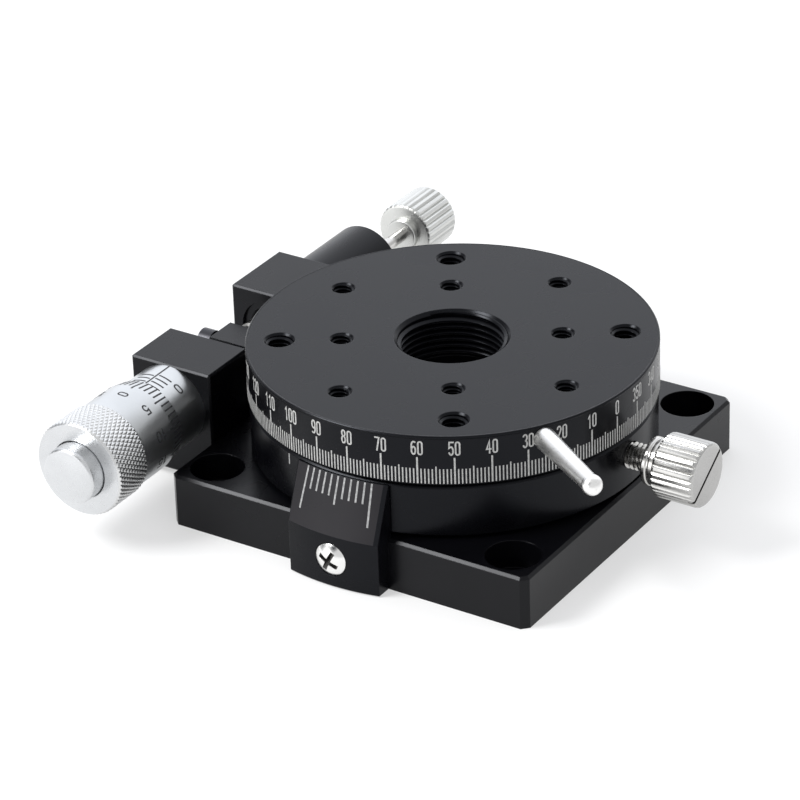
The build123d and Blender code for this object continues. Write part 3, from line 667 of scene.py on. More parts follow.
@dataclass(frozen=True)
class Digits:
    """Single-line numerals as an engraving cutter draws them, in a cell one unit high."""

    half_width: float
    curve_steps: int = 8

    def _arc(self, cx: float, cy: float, rx: float, ry: float, start: float, end: float) -> Stroke:
        """Part of an ellipse.

        Args:
            cx: middle, across.
            cy: middle, up.
            rx: half width.
            ry: half height.
            start: first angle in degrees.
            end: last angle in degrees.

        Returns:
            Points along the arc.
        """
        count = max(2, round(self.curve_steps * abs(end - start) / 180.0))
        angles = [math.radians(start + (end - start) * i / count) for i in range(count + 1)]
        return [(cx + rx * math.cos(a), cy + ry * math.sin(a)) for a in angles]

    def strokes(self, digit: str) -> list[Stroke]:
        """Strokes of one numeral, centred across.

        Args:
            digit: a character from 0 to 9.

        Returns:
            The polylines that the cutter follows.
        """
        w = self.half_width
        low, high = w, 1.0 - w
        shapes: dict[str, list[Stroke]] = {
            "0": [self._arc(0, high, w, w, 0, 180) + self._arc(0, low, w, w, 180, 360) + [(w, high)]],
            "1": [[(-0.6 * w, 0.78), (0.25 * w, 1.0), (0.25 * w, 0.0)]],
            "2": [self._arc(0, 0.76, w, 0.24, 165, -20) + [(-w, 0.0), (w, 0.0)]],
            "3": [self._arc(0, 0.765, w, 0.235, 150, -90) + self._arc(0, 0.265, w, 0.265, 90, -150)],
            "4": [[(0.45 * w, 0.0), (0.45 * w, 1.0), (-w, 0.3), (w, 0.3)]],
            "5": [[(w, 1.0), (-0.8 * w, 1.0), (-w, 0.54)] + self._arc(0, 0.32, w, 0.32, 115, -150)],
            "6": [self._arc(0.15 * w, 0.7, 1.15 * w, 0.3, 60, 180) + self._arc(0, 0.3, w, 0.3, 180, 540)],
            "7": [[(-w, 1.0), (w, 1.0), (-0.2 * w, 0.0)]],
            "8": [self._arc(0, 0.765, 0.9 * w, 0.235, -90, 270), self._arc(0, 0.265, w, 0.265, 90, 450)],
            "9": [self._arc(-0.15 * w, 0.3, 1.15 * w, 0.3, -120, 0) + self._arc(0, 0.7, w, 0.3, 0, 360)],
        }
        return shapes[digit]

    def number(self, text: str, height: float, gap: float) -> list[Stroke]:
        """Strokes of a number, centred on its place.

        Args:
            text: the number.
            height: height of a numeral.
            gap: space between numerals as a share of their height.

        Returns:
            The strokes, with their foot at zero.
        """
        pitch = 2.0 * self.half_width + gap
        strokes = []
        for i, digit in enumerate(text):
            shift = (i - (len(text) - 1) / 2.0) * pitch
            for stroke in self.strokes(digit):
                strokes.append([(height * (x + shift), height * y) for x, y in stroke])
        return strokes


@dataclass(frozen=True)
class Cutter:
    """Turns strokes into thin ribbons of paint that lie on a curved face."""

    width: float
    lift: float = 0.012
    root: float = -0.02
    least_mitre: float = 0.5

    def ribbon(self, shape: Shape, stroke: Stroke, wrap: Wrap) -> None:
        """Adds one ribbon to a shape.

        Args:
            shape: the shape that takes the ribbon.
            stroke: its centre line, across and up, in millimetres.
            wrap: gives the place on the face for across, up and lift.
        """
        half = self.width / 2.0
        loop = math.dist(stroke[0], stroke[-1]) < 1e-6
        path = [Vector(place) for place in (stroke[:-1] if loop else stroke)]
        rings = []
        for i, here in enumerate(path):
            before = path[i - 1] if loop or i else here
            after = path[(i + 1) % len(path)] if loop or i < len(path) - 1 else here
            ways = [(b - a).normalized() for a, b in ((before, here), (here, after)) if (b - a).length > 1e-9]
            way = sum(ways, Vector((0.0, 0.0))).normalized()
            side = Vector((-way.y, way.x))
            spread = half / max(self.least_mitre, abs(side.dot(Vector((-ways[0].y, ways[0].x)))))
            ends = 0.0 if loop or 0 < i < len(path) - 1 else half * (1 if i else -1)
            middle = here + way * ends
            left = middle + side * spread
            right = middle - side * spread
            rings.append([
                wrap(left.x, left.y, self.root), wrap(left.x, left.y, self.lift),
                wrap(right.x, right.y, self.lift), wrap(right.x, right.y, self.root),
            ])
        if loop:
            shape.grid(rings, wrap_rows=True, wrap_columns=True)
        else:
            shape.tube(rings)

    def line(self, shape: Shape, across: float, low: float, high: float, wrap: Wrap, pieces: int = 1) -> None:
        """Adds one upright graduation line.

        Args:
            shape: the shape that takes the line.
            across: place of the line.
            low: lower end.
            high: upper end.
            wrap: gives the place on the face.
            pieces: parts along the line.
        """
        inset = self.width / 2.0
        heights = [low + inset + (high - low - 2.0 * inset) * i / pieces for i in range(pieces + 1)]
        self.ribbon(shape, [(across, height) for height in heights], wrap)


def drum_wrap(radius: Callable[[float], float], azimuth_deg: float, reach: float) -> Wrap:
    """Wraps a flat drawing round the stage's axis.

    Args:
        radius: radius of the face at a height.
        azimuth_deg: where the middle of the drawing goes.
        reach: radius at which the drawing keeps its width.

    Returns:
        The function that places a point.
    """
    start = math.radians(azimuth_deg)

    def wrap(across: float, up: float, lift: float) -> Point:
        """Point on the drum."""
        return polar(radius(up) + lift, start + across / reach, up)

    return wrap


@dataclass
class Piece:
    """Names the body and the slot that a modelled piece belongs to."""

    body: str
    slot: Slot

    def dress(self, made: bpy.types.Object, *nodes: str) -> None:
        """Hands a piece to its body.

        Args:
            made: the object.
            nodes: nodes that the piece stands for.
        """
        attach(made, self.body)
        if nodes:
            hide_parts(*nodes)
        LOG.info("made %s on %s", made.name, self.body)


@dataclass
class TableDial:
    """Degree dial on the rim of the table."""

    finishes: Finishes
    radius: float = from_frame("table", Side.RIGHT)
    zero_azimuth: float = -7.78
    foot: float = 17.25
    unit_top: float = 19.6
    five_top: float = 20.0
    ten_top: float = 21.4
    number_foot: float = 21.85
    number_height: float = 2.0
    number_gap: float = 0.18
    number_half_width: float = 0.14
    unit_width: float = 0.19
    ten_width: float = 0.25
    stroke_width: float = 0.23

    def _on_rim(self, degrees: float) -> Wrap:
        """Places drawings at a mark of the dial."""
        return drum_wrap(lambda height: self.radius, self.zero_azimuth - degrees, self.radius)

    def _lines(self) -> Shape:
        """A line for every degree.

        Returns:
            The shape.
        """
        shape = Shape()
        for mark in range(360):
            top = self.ten_top if mark % 10 == 0 else self.five_top if mark % 5 == 0 else self.unit_top
            width = self.ten_width if mark % 10 == 0 else self.unit_width
            Cutter(width).line(shape, 0.0, self.foot, top, self._on_rim(mark))
        return shape

    def _numbers(self) -> Shape:
        """A number every ten degrees.

        Returns:
            The shape.
        """
        shape = Shape()
        cutter = Cutter(self.stroke_width)
        digits = Digits(self.number_half_width)
        for mark in range(0, 360, 10):
            for stroke in digits.number(str(mark), self.number_height, self.number_gap):
                raised = [(across, self.number_foot + up) for across, up in stroke]
                cutter.ribbon(shape, raised, self._on_rim(mark))
        return shape

    def build(self) -> None:
        """Makes the lines and the numbers."""
        piece = Piece("table", Slot.BLACK)
        piece.dress(self._lines().build("dial_lines", self.finishes.white_paint))
        piece.dress(self._numbers().build("dial_numbers", self.finishes.white_paint))


@dataclass
class TableEdge:
    """Fine edge round the top of the table."""

    finishes: Finishes
    radius: float = from_frame("table", Side.RIGHT)
    top: float = from_frame("table", Side.TOP)
    bevel: float = 0.4
    edge: float = 0.14

    def build(self) -> None:
        """Makes the edge, which lies on the bevel of the table."""
        inner = self.radius - self.bevel
        profile = [
            (inner, self.top), (self.radius - self.edge, self.top), (self.radius, self.top - self.edge),
            (self.radius, self.top - self.bevel),
        ]
        edge = turned(profile, 360, closed=True)
        made = edge.build("table_edge", self.finishes.turned_black, sharp_deg=20.0)
        Piece("table", Slot.BLACK).dress(made)


@dataclass(frozen=True)
class Thread:
    """Ridge of a thread that winds up about Z, in or out from its root.

    Its half widths are shares of the pitch, and a fade rate of zero keeps it whole to both ends.
    """

    root: float
    crest: float
    pitch: float
    low: float
    high: float
    steps: int
    root_half: float
    crest_half: float
    fade_rate: float = 0.0
    sunk: float = 0.02

    def _rise(self, index: int, count: int) -> float:
        """Share of the full ridge at a step, less near both ends where it fades."""
        return min(1.0, self.fade_rate * min(index, count - index) / self.steps) if self.fade_rate else 1.0

    def add_to(self, shape: Shape, centre: tuple[float, float] = (0.0, 0.0)) -> None:
        """Adds the ridge to a shape.

        Args:
            shape: the shape that takes the ridge.
            centre: middle of the thread.
        """
        count = round(((self.high - self.low) / self.pitch - 1.0) * self.steps)
        foot = self.root + math.copysign(self.sunk, self.root - self.crest)
        rings = []
        for i in range(count + 1):
            angle = 2.0 * math.pi * i / self.steps
            height = self.low + self.pitch * (0.5 + i / self.steps)
            crest = self.root + self._rise(i, count) * (self.crest - self.root)
            upper = ((crest, self.crest_half), (foot, self.root_half))
            lower = ((foot, -self.root_half), (crest, -self.crest_half))
            ring = []
            for radius, share in (*lower, *upper):
                x, y, z = polar(radius, angle, height + share * self.pitch)
                ring.append((centre[0] + x, centre[1] + y, z))
            rings.append(ring)
        shape.tube(rings)


@dataclass
class TableThreads:
    """Threads in the bore and in the twelve holes of the table."""

    finishes: Finishes
    top: float = from_frame("table", Side.TOP)
    grid_angle: float = 32.24
    grid_half: float = 16.0
    circle_radius: float = 25.0
    bore: tuple[float, float, float] = (8.0, 1.0, 7.4)
    small: tuple[float, float, float] = (1.5, 0.5, 5.8)
    large: tuple[float, float, float] = (2.0, 0.7, 6.3)
    bore_steps: int = 144
    hole_steps: int = 28
    hole_inset: float = 0.05
    depth_share: float = 0.54
    root_half: float = 0.46
    crest_half: float = 0.14
    fade_rate: float = 3.0

    def _thread(self, size: tuple[float, float, float], top: float, steps: int) -> Thread:
        """Thread of a bore.

        Args:
            size: radius, pitch and depth of the bore.
            top: upper end of the thread.
            steps: flats per turn.

        Returns:
            The thread.
        """
        radius, pitch, depth = size
        crest = radius - self.depth_share * pitch
        low = self.top - depth
        return Thread(radius, crest, pitch, low, top, steps, self.root_half, self.crest_half, self.fade_rate)

    def _holes(self) -> list[tuple[float, float, tuple[float, float, float]]]:
        """Places and sizes of the threaded holes.

        Returns:
            Across, up and the size of each hole, before the pattern is turned.
        """
        half = self.grid_half
        signs = ((1, 0), (0, 1), (-1, 0), (0, -1))
        corners = ((1, 1), (-1, 1), (-1, -1), (1, -1))
        holes = [(half * x, half * y, self.small) for x, y in (*signs, *corners)]
        return holes + [(self.circle_radius * x, self.circle_radius * y, self.large) for x, y in signs]

    def build(self) -> None:
        """Makes the threads."""
        turn = Matrix.Rotation(math.radians(self.grid_angle), 2)
        shape = Shape()
        self._thread(self.bore, self.top, self.bore_steps).add_to(shape)
        for across, up, size in self._holes():
            centre = turn @ Vector((across, up))
            thread = self._thread(size, self.top - self.hole_inset, self.hole_steps)
            thread.add_to(shape, (centre.x, centre.y))
        Piece("table", Slot.BLACK).dress(shape.build("table_threads", self.finishes.turned_black))


@dataclass
class RingIndex:
    """White index line on the fine feed ring."""

    finishes: Finishes
    radius: float = from_frame("fine_feed_ring", Side.RIGHT)
    azimuth: float = -109.7
    low: float = 14.5
    high: float = 16.2
    width: float = 0.24

    def build(self) -> None:
        """Makes the line."""
        shape = Shape()
        wrap = drum_wrap(lambda height: self.radius, self.azimuth, self.radius)
        Cutter(self.width).line(shape, 0.0, self.low, self.high, wrap)
        Piece("fine_ring", Slot.BLACK).dress(shape.build("ring_index_line", self.finishes.grey_paint))


@dataclass
class VernierScale:
    """White lines on the sloping face of the vernier block, over a lighter panel that paints the sheen of
    that face.
    """

    finishes: Finishes
    front: float = from_frame("vernier_block", Side.FRONT)
    upper_radius: float = 30.4
    crease: float = 8.3
    top: float = from_frame("vernier_block", Side.TOP)
    line_top: float = 16.5
    end_foot: float = 10.6
    middle_foot: float = 12.6
    short_foot: float = 13.6
    pitch_deg: float = 2.0
    centre_deg: float = -90.2
    half_count: int = 5
    width: float = 0.27
    lift: float = 0.03
    line_pieces: int = 3
    panel_deg: float = -90.5
    panel_half: float = 7.1
    panel_gap: float = 0.05
    panel_lift: float = 0.008
    panel_steps: int = 40

    def _radius(self, height: float) -> float:
        """Radius of the sloping panel at a height."""
        share = (height - self.crease) / (self.top - self.crease)
        return share * (self.upper_radius + self.front) - self.front

    def _panel(self) -> Shape:
        """Lighter face under the lines, a hair proud of the block, that paints the sheen of the sloping face.

        Returns:
            The shape.
        """
        rows = []
        centre = math.radians(self.panel_deg)
        for height in (self.crease + self.panel_gap, self.top - self.panel_gap):
            radius = self._radius(height) + self.panel_lift
            half = math.asin(self.panel_half / radius)
            shares = [2.0 * i / self.panel_steps - 1.0 for i in range(self.panel_steps + 1)]
            rows.append([polar(radius, centre + half * share, height) for share in shares])
        shape = Shape()
        shape.grid(rows)
        return shape

    def _lines(self) -> Shape:
        """Lines of the scale, longer in the middle and longest at both ends.

        Returns:
            The shape.
        """
        shape = Shape()
        feet = {0: self.middle_foot, self.half_count: self.end_foot}
        for mark in range(-self.half_count, self.half_count + 1):
            wrap = drum_wrap(self._radius, self.centre_deg + mark * self.pitch_deg, self.upper_radius)
            foot = feet.get(abs(mark), self.short_foot)
            Cutter(self.width, self.lift).line(shape, 0.0, foot, self.line_top, wrap, self.line_pieces)
        return shape

    def build(self) -> None:
        """Makes the lines and the panel of painted sheen."""
        piece = Piece("base", Slot.BLACK)
        piece.dress(self._lines().build("vernier_lines", self.finishes.grey_paint))
        # The lighter panel paints the sheen of the sloping face.
        piece.dress(self._panel().build("vernier_sheen_panel", self.finishes.ground_black))


@dataclass
class StraightKnurl:
    """Round head with straight grooves, drawn about Z."""

    length: float
    radius: float = 4.8
    edge: float = 0.55
    grooves: int = 28
    groove_depth: float = 0.28
    crest_share: float = 0.45
    steps_per_groove: int = 10

    def _knurl(self, index: int) -> float:
        """Radius of the knurl at a step round the head."""
        phase = (index % self.steps_per_groove) / self.steps_per_groove
        slope = (abs(phase - 0.5) * 2.0 - self.crest_share) / (1.0 - self.crest_share)
        return self.radius - self.groove_depth * max(0.0, slope)

    def _envelope(self) -> list[tuple[float, float]]:
        """Limits of the head.

        Returns:
            Radius and height of points along the head, with rounded ends.
        """
        low = []
        for degrees in (0, 22, 45, 68, 90):
            turn = math.radians(degrees)
            radius = self.radius - self.edge + self.edge * math.sin(turn)
            low.append((radius, self.edge * (1.0 - math.cos(turn))))
        return low + [(radius, self.length - height) for radius, height in reversed(low)]

    def shape(self, start: float) -> Shape:
        """Grooved head with flat ends.

        Args:
            start: height of the lower end.

        Returns:
            The shape.
        """
        angles = round_angles(self.grooves * self.steps_per_groove)
        knurl = [(self._knurl(i), angle) for i, angle in enumerate(angles)]
        rings = []
        for limit, height in self._envelope():
            rings.append([polar(min(limit, radius), angle, start + height) for radius, angle in knurl])
        shape = Shape()
        shape.tube(rings)
        return shape


def carve(target: bpy.types.Object, tool: bpy.types.Object) -> None:
    """Cuts a tool out of a piece and removes the tool.

    Args:
        target: the piece.
        tool: the closed shape that is cut away.
    """
    cut = target.modifiers.new("cut", "BOOLEAN")
    cut.operation = "DIFFERENCE"
    cut.solver = "EXACT"
    cut.object = tool
    graph = bpy.context.evaluated_depsgraph_get()
    result = bpy.data.meshes.new_from_object(target.evaluated_get(graph))
    target.modifiers.remove(cut)
    target.data = result
    bpy.data.objects.remove(tool)


def refinish(target: bpy.types.Object, material: Material, inside: Callable[[Vector], bool]) -> None:
    """Gives the faces in one region of a piece their own finish.

    Args:
        target: the piece.
        material: finish of those faces.
        inside: tells whether a place in millimetres lies in the region.
    """
    target.data.materials.append(material)
    last = len(target.data.materials) - 1
    for face in target.data.polygons:
        if inside(face.center / MM):
            face.material_index = last
            face.use_smooth = False


@dataclass
class VernierScrew:
    """Pan head screw with a cross recess, in the front of the vernier block."""

    finishes: Finishes
    height: float = from_frame("vernier_screw", Side.MIDDLE_Z)
    tip: float = from_frame("vernier_screw", Side.BACK)
    seat: float = -32.2
    shank_radius: float = 1.25
    head_radius: float = 2.48
    rim_height: float = 1.25
    dome_height: float = 0.95
    wing_length: float = 3.5
    wing_width: float = 0.72
    wing_foot: float = 0.35
    wing_straight: float = 0.25
    wing_clear: float = 0.3
    recess_depth: float = 1.35
    recess_deg: float = -27.0
    recess_reach: float = 0.8
    recess_floor: float = 0.2
    recess_skin: float = 0.06

    def _dome(self, radius: float) -> float:
        """Height of the dome over the seat at a radius."""
        ball = (self.head_radius**2 + self.dome_height**2) / (2.0 * self.dome_height)
        return self.rim_height + math.sqrt(ball**2 - radius**2) - (ball - self.dome_height)

    def _head(self) -> Shape:
        """Head with its shank.

        Returns:
            The shape, drawn along Z from the seat.
        """
        shank = self.shank_radius
        profile = [(shank, self.seat - self.tip), (shank, 0.0), (self.head_radius, 0.0)]
        for degrees in range(0, 86, 6):
            radius = self.head_radius * math.cos(math.radians(degrees))
            profile.append((radius, self._dome(radius)))
        return turned(profile, 96)

    def _wing(self) -> Shape:
        """One arm of the cross, narrower at its foot.

        Returns:
            The closed shape, drawn along Z from the seat.
        """
        top = self.rim_height + self.dome_height
        levels = (
            (self.wing_foot, top - self.recess_depth),
            (1.0, top - self.wing_straight),
            (1.0, top + self.wing_clear),
        )
        rings = []
        for share, height in levels:
            half_length = self.wing_length * share / 2.0
            half_width = self.wing_width * (0.5 + 0.5 * share) / 2.0
            signs = ((-1, -1), (1, -1), (1, 1), (-1, 1))
            rings.append([(x * half_length, y * half_width, height) for x, y in signs])
        shape = Shape()
        shape.tube(rings)
        return shape

    def build(self) -> None:
        """Makes the screw."""
        place = lay(Axis.MINUS_Y, (0.0, self.seat, self.height))
        head = self._head().build("vernier_pan_head", self.finishes.polished, place, 50.0)
        for degrees in (self.recess_deg, self.recess_deg + 90.0):
            carve(head, self._wing().build("recess_tool", self.finishes.bright, place @ about_z(degrees)))
        local = place.inverted()

        def inside(point: Vector) -> bool:
            """Whether a place lies in the cross, whose faces get the darker finish of painted shade."""
            spot = local @ point
            radius = math.hypot(spot.x, spot.y)
            deep = self.recess_floor < spot.z < self._dome(radius) - self.recess_skin
            return deep and radius < self.recess_reach * self.head_radius

        # The faces inside the cross get the dark cut finish, which paints the shade of the recess.
        refinish(head, self.finishes.cut, inside)
        Piece("base", Slot.BRIGHT).dress(head, "vernier_screw")


@dataclass
class RingClampKnob:
    """Thumb screw that locks the fine feed ring to the hub."""

    finishes: Finishes
    height: float = from_frame("ring_clamp_screw", Side.MIDDLE_Z)
    tip: float = 18.92
    collar_start: float = 33.0
    head_start: float = 35.2
    end: float = from_frame("ring_clamp_screw", Side.RIGHT)
    collar_radius: float = 3.6
    collar_round: float = 0.25
    collar_undercut: float = 0.15
    thread_radius: float = 2.0
    thread_pitch: float = 0.7
    thread_share: float = 0.61
    thread_root_half: float = 0.44
    thread_crest_half: float = 0.07
    thread_steps: int = 32
    groove_place: float = 0.75
    groove_depth: float = 0.12
    groove_bevel: float = 0.1
    groove_width: float = 0.45
    groove_lip: float = 0.12
    groove_corner: float = 0.05
    slot_width: float = 0.5
    slot_depth: float = 0.9
    slot_deg: float = 34.0
    slot_margin: float = 0.01
    slot_lip: float = 0.03
    face_skin: float = 0.02

    def _rod(self) -> Shape:
        """Threaded rod.

        Returns:
            The shape, drawn along Z.
        """
        root = self.thread_radius - self.thread_share * self.thread_pitch
        shape = turned([(root, self.tip), (root, self.collar_start)], self.thread_steps)
        ridge = Thread(
            root, self.thread_radius, self.thread_pitch, self.tip, self.collar_start, self.thread_steps,
            self.thread_root_half, self.thread_crest_half,
        )
        ridge.add_to(shape)
        return shape

    def _slot(self, reach: float) -> Shape:
        """Cutter of the slot across the end.

        Args:
            reach: half length of the cutter.

        Returns:
            The closed shape, drawn along Z.
        """
        half = self.slot_width / 2.0
        corners = ((-half, -reach), (half, -reach), (half, reach), (-half, reach))
        levels = (self.end - self.slot_depth, self.end + 1.0)
        shape = Shape()
        shape.tube([[(x, y, z) for x, y in corners] for z in levels])
        return shape

    def _collar(self) -> Shape:
        """Collar with a fine groove, between the rod and the head.

        Returns:
            The shape, drawn along Z.
        """
        low = self.collar_start + self.groove_place
        high = low + self.groove_width
        root = self.collar_radius - self.groove_depth
        return turned(rounded([
            (self.thread_radius, self.collar_start, 0.0),
            (self.collar_radius, self.collar_start, self.collar_round),
            (self.collar_radius, low, self.groove_lip),
            (root, low + self.groove_bevel, self.groove_corner),
            (root, high - self.groove_bevel, self.groove_corner),
            (self.collar_radius, high, self.groove_lip),
            (self.collar_radius, self.head_start - self.collar_undercut, self.groove_bevel),
            (root, self.head_start, 0.0),
            (self.thread_radius, self.head_start, 0.0),
        ]), 96)

    def _head(self, place: Matrix) -> bpy.types.Object:
        """Knurled head with its slot cut.

        Args:
            place: placement of shapes drawn along Z.

        Returns:
            The head.
        """
        knurl = StraightKnurl(self.end - self.head_start)
        knob = knurl.shape(self.head_start).build("ring_clamp_knob", self.finishes.knob_nickel, place, 25.0)
        in_slot = place @ about_z(self.slot_deg)
        carve(knob, self._slot(2.0 * knurl.radius).build("slot_tool", self.finishes.bright, in_slot))
        local = in_slot.inverted()

        def inside(point: Vector) -> bool:
            """Whether a place lies in the slot, whose faces get the darker finish of painted shade."""
            spot = local @ point
            deep = self.end - self.slot_depth - self.slot_margin < spot.z < self.end - self.slot_lip
            return deep and abs(spot.x) < self.slot_width / 2.0 + self.slot_margin

        refinish(knob, self.finishes.faced, lambda point: point.x > self.end - self.face_skin)
        # The faces inside the slot get the dark cut finish, which paints the shade of the slot.
        refinish(knob, self.finishes.cut, inside)
        return knob

    def build(self) -> None:
        """Makes the screw."""
        place = lay(Axis.X, (0.0, 0.0, self.height))
        piece = Piece("clamp_screw", Slot.BRIGHT)
        piece.dress(self._rod().build("ring_clamp_thread", self.finishes.bright, place), "ring_clamp_screw")
        piece.dress(self._head(place))
        piece.dress(self._collar().build("ring_clamp_collar", self.finishes.bright, place))


@dataclass
class PullKnob:
    """Knurled knob on the end of the plunger's rod."""

    finishes: Finishes
    line_x: float = from_frame("pull_knob", Side.MIDDLE_X)
    line_z: float = from_frame("pull_knob", Side.MIDDLE_Z)
    front: float = 45.3
    back: float = from_frame("pull_knob", Side.BACK)
    rod_radius: float = 0.9
    collar_radius: float = 2.6
    collar_length: float = 1.1
    collar_round: float = 0.25

    def _collar(self) -> Shape:
        """Collar in front of the knob.

        Returns:
            The shape, drawn along Z.
        """
        start = self.front - self.collar_length
        return turned(rounded([
            (self.rod_radius, start, 0.0), (self.collar_radius, start, self.collar_round),
            (self.collar_radius, self.front, 0.0), (self.rod_radius, self.front, 0.0),
        ]), 96)

    def build(self) -> None:
        """Makes the knob and its collar."""
        place = lay(Axis.Y, (self.line_x, 0.0, self.line_z))
        piece = Piece("plunger", Slot.BRIGHT)
        head = StraightKnurl(self.back - self.front).shape(self.front)
        piece.dress(head.build("pull_knob_head", self.finishes.brushed, place, 25.0), "pull_knob")
        piece.dress(self._collar().build("pull_knob_collar", self.finishes.brushed, place))


@dataclass
class MicrometerHead:
    """Thimble with a diamond knurl, its graduations and the scale on the sleeve."""

    finishes: Finishes
    line_x: float = from_frame("micrometer_thimble", Side.MIDDLE_X)
    line_z: float = from_frame("micrometer_thimble", Side.MIDDLE_Z)
    sleeve_radius: float = 6.2
    sleeve_gap: float = 0.05
    edge: float = from_frame("micrometer_thimble", Side.BACK)
    edge_radius: float = 6.5
    edge_break: float = 0.04
    bevel_length: float = 2.6
    radius: float = 7.0
    knurl_start: float = -34.7
    knurl_end: float = from_frame("micrometer_thimble", Side.FRONT)
    knurl_radius: float = 7.36
    knurl_depth: float = 0.17
    knurl_crest: float = 0.42
    knurl_teeth: int = 64
    knurl_pitch: float = 1.25
    steps_per_tooth: int = 8
    knurl_rows: int = 76
    shoulder_inset: float = 0.3
    chamfer: float = 0.3
    start_chamfer: float = 0.35
    chamfer_slope: float = 0.7
    end_dish: float = 0.12
    rim_width: float = 0.15
    rim_step: float = 0.04
    gutter_width: float = 0.12
    gutter_depth: float = 0.3
    cap_gap: float = 0.04
    cap_radius: float = 4.35
    cap_end: float = from_frame("thimble_cap", Side.FRONT)
    cap_shoulder: float = 0.95
    cap_round: float = 0.5
    cap_overlap: float = 0.25
    cap_rings: tuple[float, ...] = (0.9, 0.75, 0.6, 0.45, 0.3, 0.15, 0.03)
    knurl_overlap: float = 0.2
    wall: float = 2.7
    zero_deg: float = 88.2
    divisions: int = 50
    unit_line: float = 2.4
    five_line: float = 3.1
    line_width: float = 0.27
    line_lift: float = 0.02
    line_inset: float = 0.08
    line_pieces: int = 16
    number_height: float = 1.5
    number_half_width: float = 0.26
    number_width: float = 0.25
    number_gap: float = 0.24
    number_y: float = -30.4
    datum_deg: float = 87.6
    sleeve_start: float = -19.05
    sleeve_end: float = -31.0
    scale_zero: float = -21.95
    scale_pitch: float = 1.0
    scale_marks: int = 9
    scale_numbers: tuple[int, ...] = (0, 5)
    scale_gap: float = 0.45
    scale_reach: float = 2.4
    scale_number_across: float = 3.95

    @property
    def place(self) -> Matrix:
        """Placement of shapes drawn along Z."""
        return lay(Axis.Y, (self.line_x, 0.0, self.line_z))

    def _wrap(self, radius: Callable[[float], float], angle_deg: float, reach: float) -> Wrap:
        """Wraps a drawing on a turned face of the head.

        Args:
            radius: radius of the face at a place along Y.
            angle_deg: angle from +X towards +Z.
            reach: radius at which the drawing keeps its width.

        Returns:
            The function that places a point, with the drawing's up along +Y.
        """
        start = math.radians(angle_deg)

        def wrap(across: float, up: float, lift: float) -> Point:
            """Point on the head."""
            angle = start - across / reach
            reached = radius(up) + lift
            return (self.line_x + reached * math.cos(angle), up, self.line_z + reached * math.sin(angle))

        return wrap

    def _thimble_radius(self, y: float) -> float:
        """Radius of the thimble at a place along Y."""
        inner_end = self.edge - self.bevel_length
        if y <= inner_end:
            return self.radius
        share = (y - inner_end) / self.bevel_length
        return self.radius + share * (self.edge_radius - self.radius)

    def _knurl_radius(self, angle: float, y: float) -> float:
        """Radius of the diamond knurl.

        Args:
            angle: angle about the axis.
            y: place along the axis.

        Returns:
            The radius there.
        """
        turns = self.knurl_teeth * angle / (2.0 * math.pi)
        groove = 0.0
        for sense in (1.0, -1.0):
            phase = (turns + sense * y / self.knurl_pitch) % 1.0
            groove = max(groove, abs(phase - 0.5) * 2.0)
        inset = max(0.0, (groove - self.knurl_crest) / (1.0 - self.knurl_crest))
        limit = self.knurl_radius
        for end, chamfer in ((self.knurl_start, self.start_chamfer), (self.knurl_end, self.chamfer)):
            limit = min(limit, self.knurl_radius - chamfer + self.chamfer_slope * abs(y - end))
        return min(limit, self.knurl_radius - self.knurl_depth * inset)

    def _grip(self) -> tuple[Shape, Shape]:
        """Knurled grip.

        Returns:
            The grip and its end face, drawn along Z.
        """
        angles = round_angles(self.knurl_teeth * self.steps_per_tooth)
        rings = []
        for i in range(self.knurl_rows + 1):
            y = self.knurl_end + (self.knurl_start - self.knurl_end) * i / self.knurl_rows
            rings.append([polar(self._knurl_radius(angle, y), angle, y) for angle in angles])
        shoulder = [polar(self.radius - self.shoulder_inset, angle, self.knurl_start) for angle in angles]
        grip = Shape()
        grip.grid([*rings, shoulder], wrap_columns=True)
        face = [[polar(radius, angle, height) for angle in angles] for radius, height in self._end_face()]
        ring = Shape()
        ring.grid([rings[0], *face], wrap_columns=True)
        return grip, ring

    def _end_face(self) -> list[tuple[float, float]]:
        """Dished face between the rim of the grip and the cap.

        Returns:
            Radius and place along the axis of each corner.
        """
        rim = self.knurl_radius - self.chamfer
        foot = self.cap_radius + self.cap_gap
        floor = self.knurl_end + self.end_dish
        return rounded([
            (rim - self.rim_step, self.knurl_end - self.rim_step / 2.0, 0.0),
            (rim - self.rim_width, self.knurl_end, 0.1),
            (foot + self.gutter_width, floor, 0.1), (foot, floor + self.gutter_depth, 0.0),
        ])

    def _cap(self) -> Shape:
        """Domed cap on the end of the grip.

        Returns:
            The shape, drawn along Z.
        """
        shoulder = self.cap_end + self.cap_shoulder
        profile = [(self.cap_radius, self.knurl_end + self.end_dish + self.cap_overlap)]
        profile.append((self.cap_radius, shoulder))
        for degrees in range(10, 91, 10):
            turn = math.radians(degrees)
            radius = self.cap_radius - self.cap_round * (1.0 - math.cos(turn))
            profile.append((radius, shoulder - self.cap_round * math.sin(turn)))
        flat = self.cap_radius - self.cap_round
        dome = self.cap_shoulder - self.cap_round
        profile += [(flat * share, self.cap_end + dome * share**2) for share in self.cap_rings]
        return turned(profile, 160)

    def _barrel(self) -> Shape:
        """Smooth part of the thimble.

        Returns:
            The shape, drawn along Z.
        """
        bore = self.sleeve_radius + self.sleeve_gap
        return turned(rounded([
            (bore, self.knurl_end + self.wall, 0.0),
            (self.radius, self.knurl_start - self.knurl_overlap, 0.0),
            (self.radius, self.edge - self.bevel_length, 0.12),
            (self.edge_radius, self.edge - self.edge_break, 0.05),
            (bore + 0.02, self.edge, 0.0),
            (bore, self.edge - 0.1, 0.0),
        ]), 192, closed=True)

